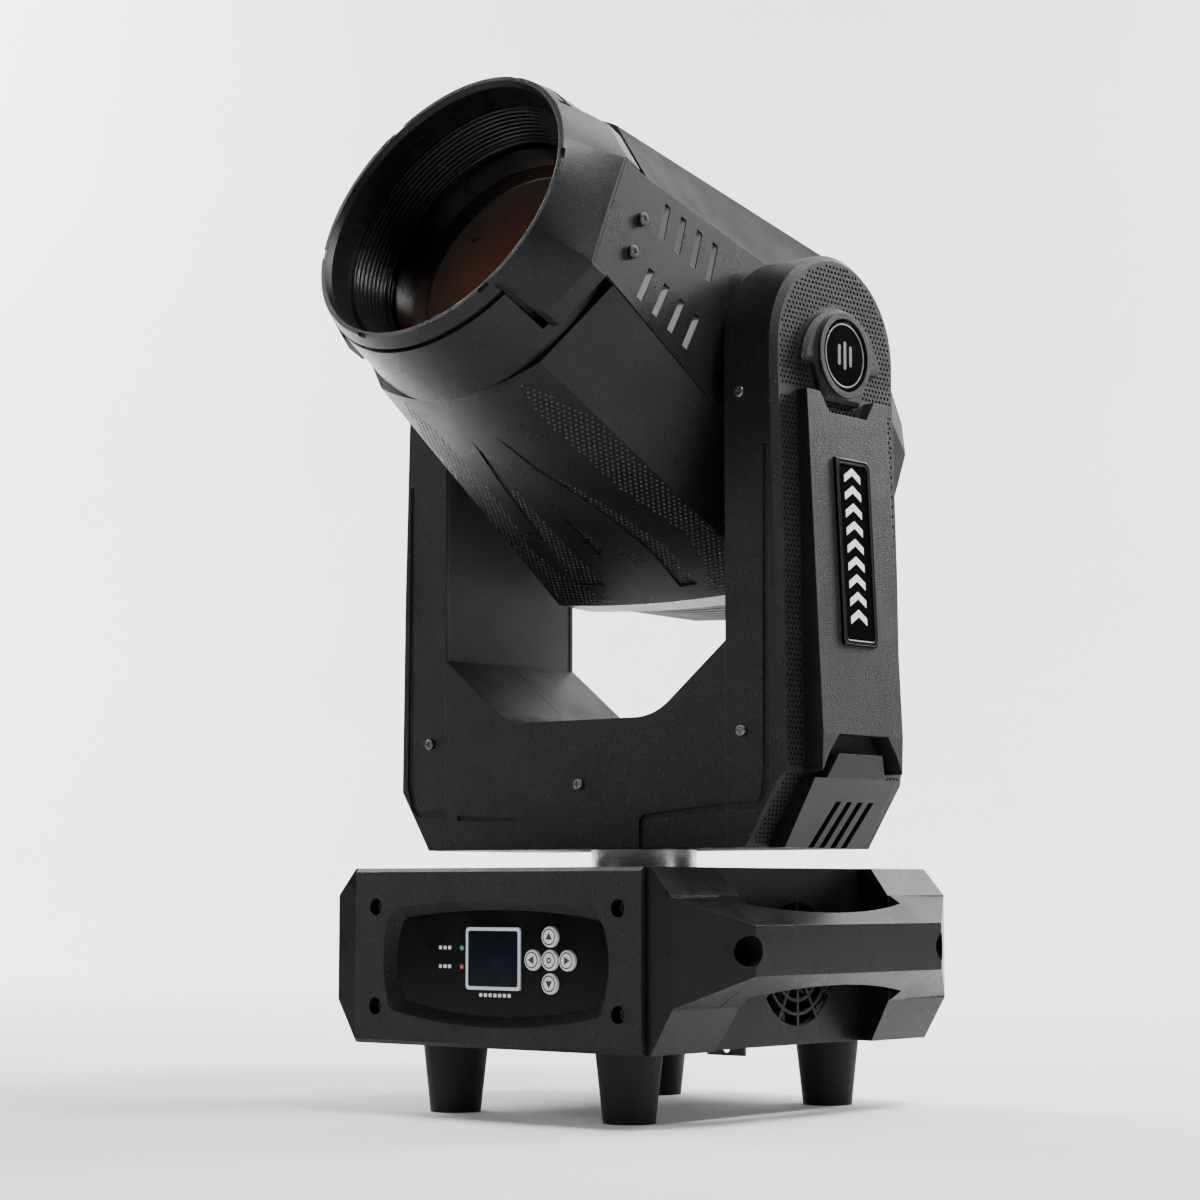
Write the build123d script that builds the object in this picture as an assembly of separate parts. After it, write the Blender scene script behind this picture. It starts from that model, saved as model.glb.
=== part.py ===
"""Moving head light: base, yoke that pans on a post, head that tilts between the yoke arms.

Millimetres, +Z up. The origin is on the pan axis, at the centre of the bracket fastener
pattern on the underside of the base; the display and buttons face -Y.
The head is drawn upright about its tilt axis, then leaned forward into its rest pose.
"""
import os
from math import atan2, cos, pi, radians, sin

from build123d import *

# ---- driving dimensions -------------------------------------------------
# base
BASE_HALF_WIDTH = 120.0          # moulded front and rear panels, along X
BASE_HALF_DEPTH = 146.7          # front face of the front panel, along Y
BASE_HEIGHT = 111.3
PANEL_DEPTH = 27.0               # how far the front and rear mouldings wrap back
WALL = 3.0
OVERLAY_FACE = 140.0             # distance from the pan axis to the glossy control overlay
PANEL_SCREW_X = 102.0
PANEL_SCREW_Z = (23.8, 86.8)
SCREW_WELL_R = 5.5
SIDE_X = 140.0                   # outer face of the octagonal side mouldings
SIDE_HALF_DEPTH = 142.7
SIDE_Z = (27.0, 94.0)
GRIP_X = 168.0                   # outer face of the grip bars
GRIP_Z = (46.5, 76.5)
GRIP_CREASE_Y = 98.0
GRIP_INNER_X = 157.0             # back of the bar at its middle
RECESS_X = 112.0
RECESS_HALF_DEPTH = 84.0
GRIP_HOLE = (100.6, 61.3, 9.3)   # y, z and radius of the round sockets in the grips
VENT_Y = 18.0                    # centre of the fan vent in the side wall
VENT_Z = 50.8
VENT_R = 39.0
FOOT_X = 73.0
FOOT_Y = 102.0
FOOT_HEIGHT = 43.9
FOOT_TOP_R = 21.0
FOOT_BOTTOM_R = 16.2
BRACKET_PITCH = 106.0            # square pattern of quarter-turn fastener holes
BRACKET_HOLE_R = 6.5
EYE_HOLE_R = 4.2
# controls on the front panel
DISPLAY_CENTRE = (-5.0, 55.0)
DISPLAY_SIZE = (46.0, 38.6)
BUTTON_CENTRE = (43.0, 54.8)
BUTTON_PITCH = 14.2
BUTTON_R = 6.4
LED_X = -32.0
LED_Z = (61.4, 49.7)
# sockets on the rear panel
SOCKET_X = (-76.0, -44.0, -12.0, 20.0)
SOCKET_Z = 49.0
PIN_TIP = 8.0                    # how far the contact pins stop short of the panel face
# pan post
POST_R = 34.7
POST_TOP = 145.0
SPINDLE_R = 25.0
YOKE_BOTTOM = 123.6
# yoke
YOKE_HALF_DEPTH = 65.0
ARM_INNER = 120.0
ARM_OUTER = 163.5
ARM_FOOT_X = 134.5               # where the lower chamfer starts
ARM_CHAMFER_TOP = 169.8
SADDLE_Z = 206.6                 # flat bottom of the saddle between the arms
SADDLE_X = 62.6
SADDLE_TOP = 251.4
TILT_Z = 433.6
CAP_X = 160.0                    # outer face of the round arm cap
ARM_GROOVE_DEPTH = 1.2           # relief band up the arm
SKIRT_HALF = 42.5                # raised side panel, half depth
SKIRT_TOP = (167.5, 407.0)       # x and z of its upper edge
SKIRT_FOOT = (178.0, 193.0)
LABEL_Z = (249.0, 366.5)
LABEL_HALF = 18.0
MEDALLION_R = 23.2
MEDALLION_X = 166.0
# head, about the tilt axis, z along the beam
REST_LEAN = 66.2                 # degrees from straight up, towards -Y
RIM_Z = 216.0
RIM_R = 96.5
COLLAR_Z = 157.0
PLATE_X = 110.7
PLATE_FRONT_Z = 179.0
PLATE_REAR_Z = -70.0
LENS_R = 80.5
LENS_Z = 164.0
REAR_Z = -188.0
CLAW_DEPTH = 1.1                 # relief marks under the head
FOCUS_ROD_X = 78.0
WHEEL_Y = 46.0                   # wheel spindles, off the beam axis
COLOUR_Z = -12.0
GOBO_Z = 4.0
# drive
AXLE_R = 15.0
BIG_PULLEY_R = 42.0
SMALL_PULLEY_R = 10.5
PAN_MOTOR_X = 82.0
TILT_MOTOR_Z = 318.0
TILT_PULLEY_X = (127.0, 134.5)
BELT = 1.6
RUN = 0.05                       # radial clearance of running fits
GAP = 0.3                        # clearance between pieces that pass each other

XZ = Plane.XZ
YZ = Plane.YZ


# ---- helpers -------------------------------------------------------------
def box(x, y, z):
    """Block between pairs of x, y and z."""
    size = (x[1] - x[0], y[1] - y[0], z[1] - z[0])
    return Pos(sum(x) / 2, sum(y) / 2, sum(z) / 2) * Box(*size)


def poly(points):
    return make_face(Polyline(*points, close=True))


def along_x(face, low, high):
    """Prism of a (y, z) face between two x."""
    return extrude(YZ.offset(low) * face, amount=high - low)


def along_y(face, low, high):
    """Prism of an (x, z) face between two y."""
    return extrude(XZ.offset(-high) * face, amount=high - low)


def along_z(face, low, high):
    return extrude(Plane.XY.offset(low) * face, amount=high - low)


def rod_x(y, z, r, low, high):
    return along_x(Pos(y, z) * Circle(r), low, high)


def rod_y(x, z, r, low, high):
    return along_y(Pos(x, z) * Circle(r), low, high)


def rod_z(x, y, r, low, high):
    return along_z(Pos(x, y) * Circle(r), low, high)


def ring_z(x, y, r_in, r_out, low, high):
    return rod_z(x, y, r_out, low, high) - rod_z(x, y, r_in, low - 1, high + 1)


def ring_x(y, z, r_in, r_out, low, high):
    return rod_x(y, z, r_out, low, high) - rod_x(y, z, r_in, low - 1, high + 1)


def mirrored_x(shape):
    return mirror(shape, about=Plane.YZ)


def turned(shape):
    """The same piece half a turn round the pan axis."""
    return Rot(0, 0, 180) * shape


def in_head(shape):
    """From the upright head frame to the rest pose."""
    return Pos(0, 0, TILT_Z) * Rot(REST_LEAN, 0, 0) * shape


def hull_of(circles):
    edges = []
    for x, y, r in circles:
        edges += (Pos(x, y) * Circle(r)).edges()
    return make_hull(edges)


def fan_blades(radius, hub_r, depth, count):
    """Fan rotor about Z, centred on z = 0."""
    rotor = rod_z(0, 0, hub_r, -depth / 2, depth / 2)
    reach = radius - hub_r + 2
    for step in range(count):
        blade = Pos(hub_r - 2 + reach / 2, 0, 0) * Rot(38, 0, 0) * Box(reach, 1.8, depth * 1.05)
        rotor += Rot(0, 0, 360 * step / count) * blade
    return rotor & rod_z(0, 0, radius, -depth / 2, depth / 2)


def fan_housing(half, bore_r, depth):
    """Square fan frame about Z with four struts and a motor seat at the lower face."""
    frame = box((-half, half), (-half, half), (-depth / 2, depth / 2))
    frame -= rod_z(0, 0, bore_r, -depth, depth)
    low = -depth / 2
    seat = rod_z(0, 0, bore_r * 0.42, low, low + 2.5)
    for step in range(4):
        strut = box((0, bore_r + 1), (-2, 2), (low, low + 2.5))
        seat += Rot(0, 0, 45 + 90 * step) * strut
    frame += seat
    for sx in (-1, 1):
        for sy in (-1, 1):
            frame -= rod_z(sx * (half - 4.5), sy * (half - 4.5), 2.2, -depth, depth)
    return frame


# ---- base ----------------------------------------------------------------
def panel_shell():
    """Front moulding: face plate with returns that wrap back over the chassis."""
    outer = box((-BASE_HALF_WIDTH, BASE_HALF_WIDTH),
                (-BASE_HALF_DEPTH, -BASE_HALF_DEPTH + PANEL_DEPTH), (0, BASE_HEIGHT))
    outer = chamfer(outer.edges().filter_by(Axis.X).group_by(Axis.Y)[0], 2.5)
    inner = box((-BASE_HALF_WIDTH + WALL, BASE_HALF_WIDTH - WALL),
                (-OVERLAY_FACE + WALL + 1, 0), (WALL, BASE_HEIGHT - WALL))
    return outer - inner


def pillow(inset):
    """Outline of the control recess: a rectangle whose four sides bow outwards."""
    x_side, x_corner = 95.0 - inset, 88.5 - inset
    low, low_corner = 12.7 + inset, 21.5 + inset
    top, top_corner = 91.2 - inset, 86.0 - inset
    middle = (low_corner + top_corner) / 2
    edges = [
        ThreePointArc((-x_corner, low_corner), (0, low), (x_corner, low_corner)),
        ThreePointArc((x_corner, low_corner), (x_side, middle), (x_corner, top_corner)),
        ThreePointArc((x_corner, top_corner), (0, top), (-x_corner, top_corner)),
        ThreePointArc((-x_corner, top_corner), (-x_side, middle), (-x_corner, low_corner)),
    ]
    face = make_face(edges)
    return fillet(face.vertices(), 7.0)


def screw_wells(y_face):
    wells = [rod_y(sx * PANEL_SCREW_X, z, SCREW_WELL_R, y_face - 1, y_face + 8)
             for sx in (-1, 1) for z in PANEL_SCREW_Z]
    wells += [rod_y(sx * PANEL_SCREW_X, z, 2.3, y_face - 1, y_face + 20)
              for sx in (-1, 1) for z in PANEL_SCREW_Z]
    return wells


def screw_bosses(y_face):
    return [rod_y(sx * PANEL_SCREW_X, z, SCREW_WELL_R + 2.5, y_face + 3, y_face + 11)
            for sx in (-1, 1) for z in PANEL_SCREW_Z]


def base_front_panel():
    panel = panel_shell()
    for boss in screw_bosses(-BASE_HALF_DEPTH):
        panel += boss
    for well in screw_wells(-BASE_HALF_DEPTH):
        panel -= well
    recess = loft([XZ.offset(BASE_HALF_DEPTH + 0.1) * pillow(0),
                   XZ.offset(OVERLAY_FACE) * pillow(6.0)], ruled=True)
    seat = along_y(pillow(6.1), -OVERLAY_FACE - 1, -OVERLAY_FACE + 2.7)
    window = along_y(pillow(9.0), -OVERLAY_FACE - 1, -OVERLAY_FACE + WALL + 3)
    return panel - recess - seat - window


def base_rear_panel():
    panel = panel_shell()
    for boss in screw_bosses(-BASE_HALF_DEPTH):
        panel += boss
    for well in screw_wells(-BASE_HALF_DEPTH):
        panel -= well
    panel = turned(panel)
    y = (OVERLAY_FACE - WALL - 3, BASE_HALF_DEPTH + 1)
    panel -= box((52.5, 83.5), y, (34.3, 63.7))
    for x in SOCKET_X:
        panel -= rod_y(x, SOCKET_Z, 12.2, *y)
    return panel


def power_inlet():
    """Mains inlet with a fuse drawer: flange outside, body through the rear panel."""
    face = BASE_HALF_DEPTH
    inlet = box((50, 86), (face, face + 2.5), (30, 68))
    inlet += box((53, 83), (face - 26, face), (34.8, 63.2))
    inlet -= box((56, 80), (face - 16, face + 4), (47, 61))
    inlet -= box((57, 79), (face + 1.3, face + 4), (37, 43))
    for dx in (-7, 0, 7):
        inlet += box((68 + dx - 1, 68 + dx + 1), (face - 17, face - PIN_TIP), (52, 57))
    return inlet


def signal_sockets():
    """Two inputs with pins and two outputs with contact holes, three and five pole."""
    face = BASE_HALF_DEPTH
    sockets = Part()
    for index, x in enumerate(SOCKET_X):
        body = box((x - 13, x + 13), (face, face + 2.2), (SOCKET_Z - 15.5, SOCKET_Z + 15.5))
        body += rod_y(x, SOCKET_Z, 11.9, face - 22, face + 2.2)
        is_input = index < 2
        if is_input:
            body -= rod_y(x, SOCKET_Z, 9.0, face - 17, face + 3)
        contacts = 3 if index % 2 == 0 else 5
        for contact in range(contacts):
            turn = radians(200 + 140 * contact / (contacts - 1))
            cx, cz = x + 5 * cos(turn), SOCKET_Z + 5 * sin(turn)
            if is_input:
                body += rod_y(cx, cz, 1.1, face - 18, face - PIN_TIP)
            else:
                body -= rod_y(cx, cz, 1.3, face + 1.0, face + 3)
        sockets += body
    return sockets


def base_chassis():
    """Folded steel tray with side walls that carry the fans."""
    half_x = 109.4
    half_y = 119.0
    tray = box((-half_x, half_x), (-half_y, half_y), (WALL, 103.0))
    tray -= box((-half_x + 1.5, half_x - 1.5), (-half_y + 1.5, half_y - 1.5), (WALL + 1.5, 104))
    tray -= box((-95, 95), (-half_y - 1, -half_y + 2), (12, 95))
    tray -= box((-95, 95), (half_y - 2, half_y + 1), (12, 95))
    for sx in (-1, 1):
        tray -= rod_x(VENT_Y, VENT_Z, VENT_R, *sorted((sx * (half_x - 3), sx * (half_x + 1))))
    for x, y in bracket_points():
        tray -= rod_z(x, y, BRACKET_HOLE_R + 2, 0, 6)
    for x, y in foot_points():
        tray -= rod_z(x, y, 2.6, 0, 6)
    return tray - rod_z(0, 79, 4.2, 0, 6)


def foot_points():
    return [(sx * FOOT_X, sy * FOOT_Y) for sx in (-1, 1) for sy in (-1, 1)]


def bracket_points():
    half = BRACKET_PITCH / 2
    return [(sx * half, sy * half) for sx in (-1, 1) for sy in (-1, 1)]


def base_bottom_plate():
    plate = box((-109.4, 109.4), (-119.4, 119.4), (0, WALL - GAP / 3))
    for x, y in bracket_points():
        plate -= rod_z(x, y, BRACKET_HOLE_R, -1, 4)
    for x, y in foot_points():
        plate -= rod_z(x, y, 2.4, -1, 4)
    return plate - rod_z(0, 79, 4.0, -1, 4)


def base_top_plate():
    plate = box((-109.4, 109.4), (-119.4, 119.4), (BASE_HEIGHT - WALL, BASE_HEIGHT))
    return plate - rod_z(0, 0, POST_R + 0.2, 100, 120)


def rubber_feet():
    feet = Part()
    for x, y in foot_points():
        foot = Pos(x, y, -FOOT_HEIGHT / 2) * Cone(FOOT_BOTTOM_R, FOOT_TOP_R, FOOT_HEIGHT)
        foot -= rod_z(x, y, 6.0, -FOOT_HEIGHT - 1, -6.0)
        foot -= rod_z(x, y, 2.4, -10, 1)
        feet += foot
    return feet


def pan_head_screw(length, head_r=4.0, head_h=2.6):
    """Cross-recessed screw, its head above z = 0 and its shank below."""
    screw = rod_z(0, 0, head_r, 0, head_h)
    screw = fillet(screw.edges().group_by(Axis.Z)[-1], 1.1)
    screw += rod_z(0, 0, 2.0, -length, 0.5)
    for turn in (0, 90):
        screw -= Pos(0, 0, head_h) * Rot(0, 0, turn) * Box(4.4, 1.0, 2.2)
    return screw


def base_screws():
    """Panel screws in their wells and the screws up through the feet."""
    screws = Part()
    front = Rot(90, 0, 0) * pan_head_screw(9.0)
    for x in (-PANEL_SCREW_X, PANEL_SCREW_X):
        for z in PANEL_SCREW_Z:
            screw = Pos(x, -BASE_HALF_DEPTH + 8.0, z) * front
            screws += screw
            screws += turned(screw)
    for x, y in foot_points():
        screws += Pos(x, y, -6.0) * Rot(180, 0, 0) * pan_head_screw(12.0)
    return screws


def grip_section(x_inner):
    return poly([(x_inner, SIDE_Z[0]), (GRIP_X, GRIP_Z[0]), (GRIP_X, GRIP_Z[1]), (x_inner, SIDE_Z[1])])


def base_handle_right():
    """Side moulding: octagonal block, open hand recess and an arched grip bar across it."""
    octagon = poly([(BASE_HALF_WIDTH + GAP, 0), (123.5, 0), (SIDE_X, SIDE_Z[0]), (SIDE_X, SIDE_Z[1]),
                    (124.5, BASE_HEIGHT), (BASE_HALF_WIDTH + GAP, BASE_HEIGHT)])
    body = along_y(octagon, -SIDE_HALF_DEPTH, SIDE_HALF_DEPTH)
    body += box((109.7, 121), (-119.3, 119.3), (0, BASE_HEIGHT))
    recess = poly([(RECESS_X, -RECESS_HALF_DEPTH), (150, -RECESS_HALF_DEPTH + 8),
                   (150, RECESS_HALF_DEPTH - 8), (RECESS_X, RECESS_HALF_DEPTH)])
    body -= along_z(recess, -1, BASE_HEIGHT + 1)
    pocket = poly([(108, WALL), (122.0, WALL), (SIDE_X - 3.5, SIDE_Z[0] + 1), (SIDE_X - 3.5, SIDE_Z[1] - 1),
                   (122.5, BASE_HEIGHT - WALL), (108, BASE_HEIGHT - WALL)])
    for sy in (-1, 1):
        body -= along_y(pocket, *sorted((sy * 88, sy * 117)))
    bar = along_y(grip_section(SIDE_X), -GRIP_CREASE_Y, GRIP_CREASE_Y)
    for sy in (-1, 1):
        tip = poly([(SIDE_X - 0.6, SIDE_Z[0] + 0.5), (SIDE_X, SIDE_Z[0] + 0.8),
                    (SIDE_X, SIDE_Z[1] - 0.8), (SIDE_X - 0.6, SIDE_Z[1] - 0.5)])
        flare = loft([XZ.offset(-sy * GRIP_CREASE_Y) * grip_section(SIDE_X - 0.6),
                      XZ.offset(-sy * SIDE_HALF_DEPTH) * tip], ruled=True)
        bar += flare
    arch_r = 380.0
    bar -= rod_z(GRIP_INNER_X - arch_r, 0, arch_r, 0, BASE_HEIGHT) & box((100, 160), (-80, 80), (0, 120))
    body += bar
    hole_y, hole_z, hole_r = GRIP_HOLE
    for sy in (-1, 1):
        body -= rod_x(sy * hole_y, hole_z, hole_r, 148, 172)
    for slot in vent_slots():
        body -= along_x(Pos(VENT_Y, VENT_Z) * slot, RECESS_X - 4, RECESS_X + 1)
    return body


def vent_slots():
    """Web of curved slots: rings of them with radial ribs between."""
    slots = []
    rings = [(6.0, 13.0, 6), (15.0, 22.0, 12), (24.0, 30.5, 12), (32.5, VENT_R, 12)]
    for r_in, r_out, count in rings:
        half_rib = 1.2
        for step in range(count):
            half = radians(180 / count)
            cut = []
            for r in (r_in, r_out):
                swing = half - half_rib / r
                cut.append([(r * cos(a), r * sin(a)) for a in (-swing, 0, swing)])
            inner, outer = cut
            edges = [ThreePointArc(*inner), Line(inner[2], outer[2]),
                     ThreePointArc(*reversed(outer)), Line(outer[0], inner[0])]
            slots.append(Rot(0, 0, 360 * (step + 0.5) / count) * make_face(edges))
    return slots


def base_fan_frame():
    return Pos(95.4, VENT_Y, VENT_Z) * Rot(0, 90, 0) * fan_housing(40.0, 38.0, 25.0)


def base_fan_rotor():
    return Pos(97.1, VENT_Y, VENT_Z) * Rot(0, 90, 0) * fan_blades(36.5, 15.5, 19.0, 7)


def control_bezel():
    """Glossy overlay behind the recess, with openings for display, buttons and lamps."""
    y = (-OVERLAY_FACE, -OVERLAY_FACE + 2.6)
    bezel = along_y(pillow(6.4), *y)
    x, z = DISPLAY_CENTRE
    w, h = DISPLAY_SIZE
    bezel -= box((x - w / 2 - GAP, x + w / 2 + GAP), (y[0] - 1, y[1] + 1), (z - h / 2 - GAP, z + h / 2 + GAP))
    for bx, bz in button_points().values():
        bezel -= rod_y(bx, bz, BUTTON_R + 0.25, y[0] - 1, y[1] + 1)
    for led_z in LED_Z:
        bezel -= rod_y(LED_X, led_z, 1.8, y[0] - 1, y[1] + 1)
    return bezel


def button_points():
    x, z = BUTTON_CENTRE
    p = BUTTON_PITCH
    return {"up": (x, z + p), "left": (x - p, z), "ok": (x, z), "right": (x + p, z), "down": (x, z - p)}


def button(x, z):
    cap = rod_y(x, z, BUTTON_R, -OVERLAY_FACE - 2.4, -OVERLAY_FACE + 4.2)
    cap = fillet(cap.edges().group_by(Axis.Y)[0], 1.2)
    stem = rod_y(x, z, 2.0, -OVERLAY_FACE + 4.0, -OVERLAY_FACE + 6.4)
    return cap + stem


def lcd_display():
    """Display module: raised rounded frame, sunk window and the module body behind."""
    x, z = DISPLAY_CENTRE
    w, h = DISPLAY_SIZE
    front = -OVERLAY_FACE - 0.8
    frame = box((x - w / 2, x + w / 2), (front, -OVERLAY_FACE + 3), (z - h / 2, z + h / 2))
    frame = fillet(frame.edges().filter_by(Axis.Y), 2.5)
    window = box((x - w / 2 + 3.4, x + w / 2 - 3.4), (front - 1, front + 0.8), (z - h / 2 + 3.4, z + h / 2 - 3.4))
    module = box((x - w / 2 + 1, x + w / 2 - 1), (-OVERLAY_FACE + 2.8, -OVERLAY_FACE + 9), (z - h / 2 + 1, z + h / 2 - 1))
    return frame - window + module


def status_leds():
    leds = Part()
    for z in LED_Z:
        led = rod_y(LED_X, z, 1.5, -OVERLAY_FACE - 0.6, -OVERLAY_FACE + 9)
        leds += fillet(led.edges().group_by(Axis.Y)[0], 0.5)
    return leds


def control_board():
    y = -OVERLAY_FACE + 9.0
    board = box((-80, 80), (y, y + 1.6), (22, 88))
    board += box((-60, -30), (y + 1.6, y + 9), (30, 60))
    board += box((10, 55), (y + 1.6, y + 6), (28, 44))
    for x, z in button_points().values():
        board += box((x - 3, x + 3), (y - 1.2, y), (z - 3, z + 3))
    return board


def power_supply():
    can = box((-96, 40), (30, 112), (8.0, 50.0))
    can = chamfer(can.edges().filter_by(Axis.Z), 2.0)
    for step in range(9):
        can -= box((-84 + 13 * step, -77 + 13 * step), (44, 98), (48.8, 51))
    return can


def safety_eye():
    """Folded lug under the base for a safety wire, riveted through the bottom plate."""
    lug = box((-16, 16), (72, 88), (-2.4, 0))
    lug += box((-16, 16), (85.6, 88), (-14, 0))
    lug -= rod_y(0, -8.2, EYE_HOLE_R, 80, 90)
    return lug + rod_z(0, 79, 4.0, -1.5, WALL)


def pan_spindle():
    """Turned hollow post, flanged under the base top."""
    post = rod_z(0, 0, 52.0, BASE_HEIGHT - WALL - 6, BASE_HEIGHT - WALL)
    post += rod_z(0, 0, POST_R, BASE_HEIGHT - WALL - 1, YOKE_BOTTOM + 5.0)
    post += rod_z(0, 0, SPINDLE_R, YOKE_BOTTOM, POST_TOP + 0.5)
    post += rod_z(0, 0, 18.0, POST_TOP, POST_TOP + 12.0)
    return post - rod_z(0, 0, 14.0, 90, 170)


def toothed_disc(radius, teeth, low, high):
    """Timing pulley about Z with round grooves between its teeth."""
    grooves = PolarLocations(radius, teeth) * Circle(0.9)
    return along_z(Circle(radius) - grooves, low, high)


def pan_pulley():
    wheel = toothed_disc(BIG_PULLEY_R, 60, POST_TOP + 1.5, POST_TOP + 9.5)
    return wheel - rod_z(0, 0, 18.0, 140, 160)


# ---- yoke ----------------------------------------------------------------
def saddle_outline(inset):
    """Centre section seen from the front: flat below, saddle cut above."""
    low = YOKE_BOTTOM + inset
    flat = SADDLE_Z - inset
    slope = (SADDLE_TOP - SADDLE_Z) / (ARM_INNER - SADDLE_X)
    top = SADDLE_TOP - inset * 1.25
    corner = SADDLE_X + inset * 0.3
    reach = ARM_INNER
    top_edge = corner + (top - flat) / slope
    if top_edge > reach:
        top = flat + slope * (reach - corner)
    points = [(-reach, low), (reach, low), (reach, top), (corner, flat), (-corner, flat), (-reach, top)]
    face = poly(points)
    bends = [v for v in face.vertices() if abs(abs(v.X) - corner) < 0.01 and abs(v.Y - flat) < 0.01]
    return fillet(bends, 45.0)


def yoke_front_cover():
    """Centre casing, front half: face, saddle top and underside, open at its ends."""
    cover = along_y(saddle_outline(0), -YOKE_HALF_DEPTH, -GAP / 2)
    cover -= along_y(saddle_outline(WALL), -YOKE_HALF_DEPTH + WALL, 1)
    cover -= rod_z(0, 0, POST_R + 1.5, 110, 135)
    cover -= rod_y(0, 165.1, 2.3, -70, -50)
    return cover - groove_cuts()


def groove_cuts():
    """Relief grooves on the casing's face."""
    depth = -YOKE_HALF_DEPTH + 1.6
    low = YOKE_BOTTOM - 1
    cuts = poly([(50, low), (55, low), (55, 140.5), (125, 146.3), (125, 151.0), (53.5, 144.8), (50, 141)])
    short = poly([(-108, 143.2), (-54, 141.6), (-52, 144.4), (-108, 146.6)])
    return along_y(cuts, -70, depth) + along_y(short, -70, depth)


def yoke_rear_cover():
    cover = along_y(saddle_outline(0), -YOKE_HALF_DEPTH, -GAP / 2)
    cover -= along_y(saddle_outline(WALL), -YOKE_HALF_DEPTH + WALL, 1)
    cover -= rod_z(0, 0, POST_R + 1.5, 110, 135)
    cover -= rod_y(0, 165.1, 2.3, -70, -50)
    return turned(cover)


def arm_side(half, top_r, bottom):
    """Arm seen from the side: straight flanks and a round top about the tilt axis."""
    edges = [
        Line((-half, bottom), (half, bottom)),
        Line((half, bottom), (top_r, TILT_Z)),
        ThreePointArc((top_r, TILT_Z), (0, TILT_Z + top_r), (-top_r, TILT_Z)),
        Line((-top_r, TILT_Z), (-half, bottom)),
    ]
    return make_face(edges)


def arm_front(inner, trim):
    """Arm seen from the front: chamfered foot, flank leaning in towards the top."""
    low = YOKE_BOTTOM + trim
    return poly([(inner, low), (ARM_FOOT_X - 0.5 * trim, low), (ARM_OUTER - trim, ARM_CHAMFER_TOP + 0.3 * trim),
                 (ARM_OUTER - 1.5 - trim, 300), (CAP_X - 1.0 - trim, 420), (CAP_X - trim, TILT_Z + 70),
                 (inner, TILT_Z + 70)])


def skirt_x(z):
    """X of the raised side panel's face at a height."""
    run = (SKIRT_TOP[1] - z) / (SKIRT_TOP[1] - SKIRT_FOOT[1])
    return SKIRT_TOP[0] + run * (SKIRT_FOOT[0] - SKIRT_TOP[0])


def skirt_face(grow):
    """Raised side panel in section, seen from the front."""
    z_low = ARM_CHAMFER_TOP - 1.0
    z_top = SKIRT_TOP[1]
    return poly([(150, z_low), (skirt_x(z_low) - 2 + grow, z_low), (skirt_x(SKIRT_FOOT[1]) + grow, SKIRT_FOOT[1]),
                 (skirt_x(z_top) + grow, z_top), (158, z_top + 1), (150, z_top + 1)])


def skirt_side():
    """Raised side panel seen from the side, notched above for the hub and below for the vent."""
    h = SKIRT_HALF
    foot = SKIRT_FOOT[1]
    top = SKIRT_TOP[1]
    return poly([(-h, ARM_CHAMFER_TOP), (-h, top), (-29, top), (-20, top - 12.4), (20, top - 12.4), (29, top), (h, top),
                 (h, ARM_CHAMFER_TOP), (36, 181), (26, foot), (-26, foot), (-36, 181)])


def arm_shell_right():
    """Arm casing: a deep cup open towards the head, with a raised panel on its flank."""
    core = along_x(arm_side(YOKE_HALF_DEPTH, YOKE_HALF_DEPTH, YOKE_BOTTOM), ARM_INNER, ARM_OUTER + 2)
    core &= along_y(arm_front(ARM_INNER, 0), -70, 70)
    core = chamfer(long_edges(core), 4.0)
    skirt = along_x(skirt_side(), 150, 185) & along_y(skirt_face(0), -50, 50)
    core += skirt
    core += hub_boss()
    inner_r = YOKE_HALF_DEPTH - WALL
    hollow = along_x(arm_side(inner_r, inner_r, YOKE_BOTTOM + WALL), ARM_INNER - 1, 165)
    hollow &= along_y(arm_front(ARM_INNER - 1, WALL), -70, 70)
    core -= hollow
    for z in (195.0, 405.6):
        for y in (-70, 60):
            core -= rod_y(132.8, z, 2.3, y, y + 10)
    core -= rod_x(0, TILT_Z, MEDALLION_R + 0.2, CAP_X + 1.5, 170)
    x_label = (skirt_x(sum(LABEL_Z) / 2) - 6, 190)
    label_pocket = box(x_label, (-LABEL_HALF - 0.3, LABEL_HALF + 0.3), (LABEL_Z[0] - 0.3, LABEL_Z[1] + 0.3))
    core -= label_pocket & along_y(skirt_band(-2.2, 5), -30, 30)
    for y in (-70, YOKE_HALF_DEPTH - ARM_GROOVE_DEPTH):
        core -= along_y(arm_groove(), y, y + 70 - YOKE_HALF_DEPTH + ARM_GROOVE_DEPTH)
    return core - skirt_hollow()


def arm_groove():
    """Relief band that turns up from the saddle into the arm."""
    return poly([(119, 146.2), (145, 146.2), (150.5, 152.5), (154.6, 166), (153.4, 372), (150, 372),
                 (148.6, 166), (146.5, 155), (143, 151), (119, 151)])


def long_edges(shape):
    """Outer edges of the arm's front and rear faces and of its round cap."""
    picked = []
    for edge in shape.edges():
        centre = edge.center()
        outside = centre.X > 155 and abs(centre.Y) > 1
        flank = abs(abs(centre.Y) - YOKE_HALF_DEPTH) < 0.2 and centre.Z > ARM_CHAMFER_TOP
        cap = centre.Z > TILT_Z + 30 and centre.X > 155
        if (outside and flank) or cap:
            picked.append(edge)
    return picked


def skirt_band(low, high):
    """Thin leaning band that follows the raised panel's face."""
    z0, z1 = LABEL_Z[0] - 10, LABEL_Z[1] + 10
    return poly([(skirt_x(z0) + low, z0), (skirt_x(z0) + high, z0), (skirt_x(z1) + high, z1), (skirt_x(z1) + low, z1)])


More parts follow.
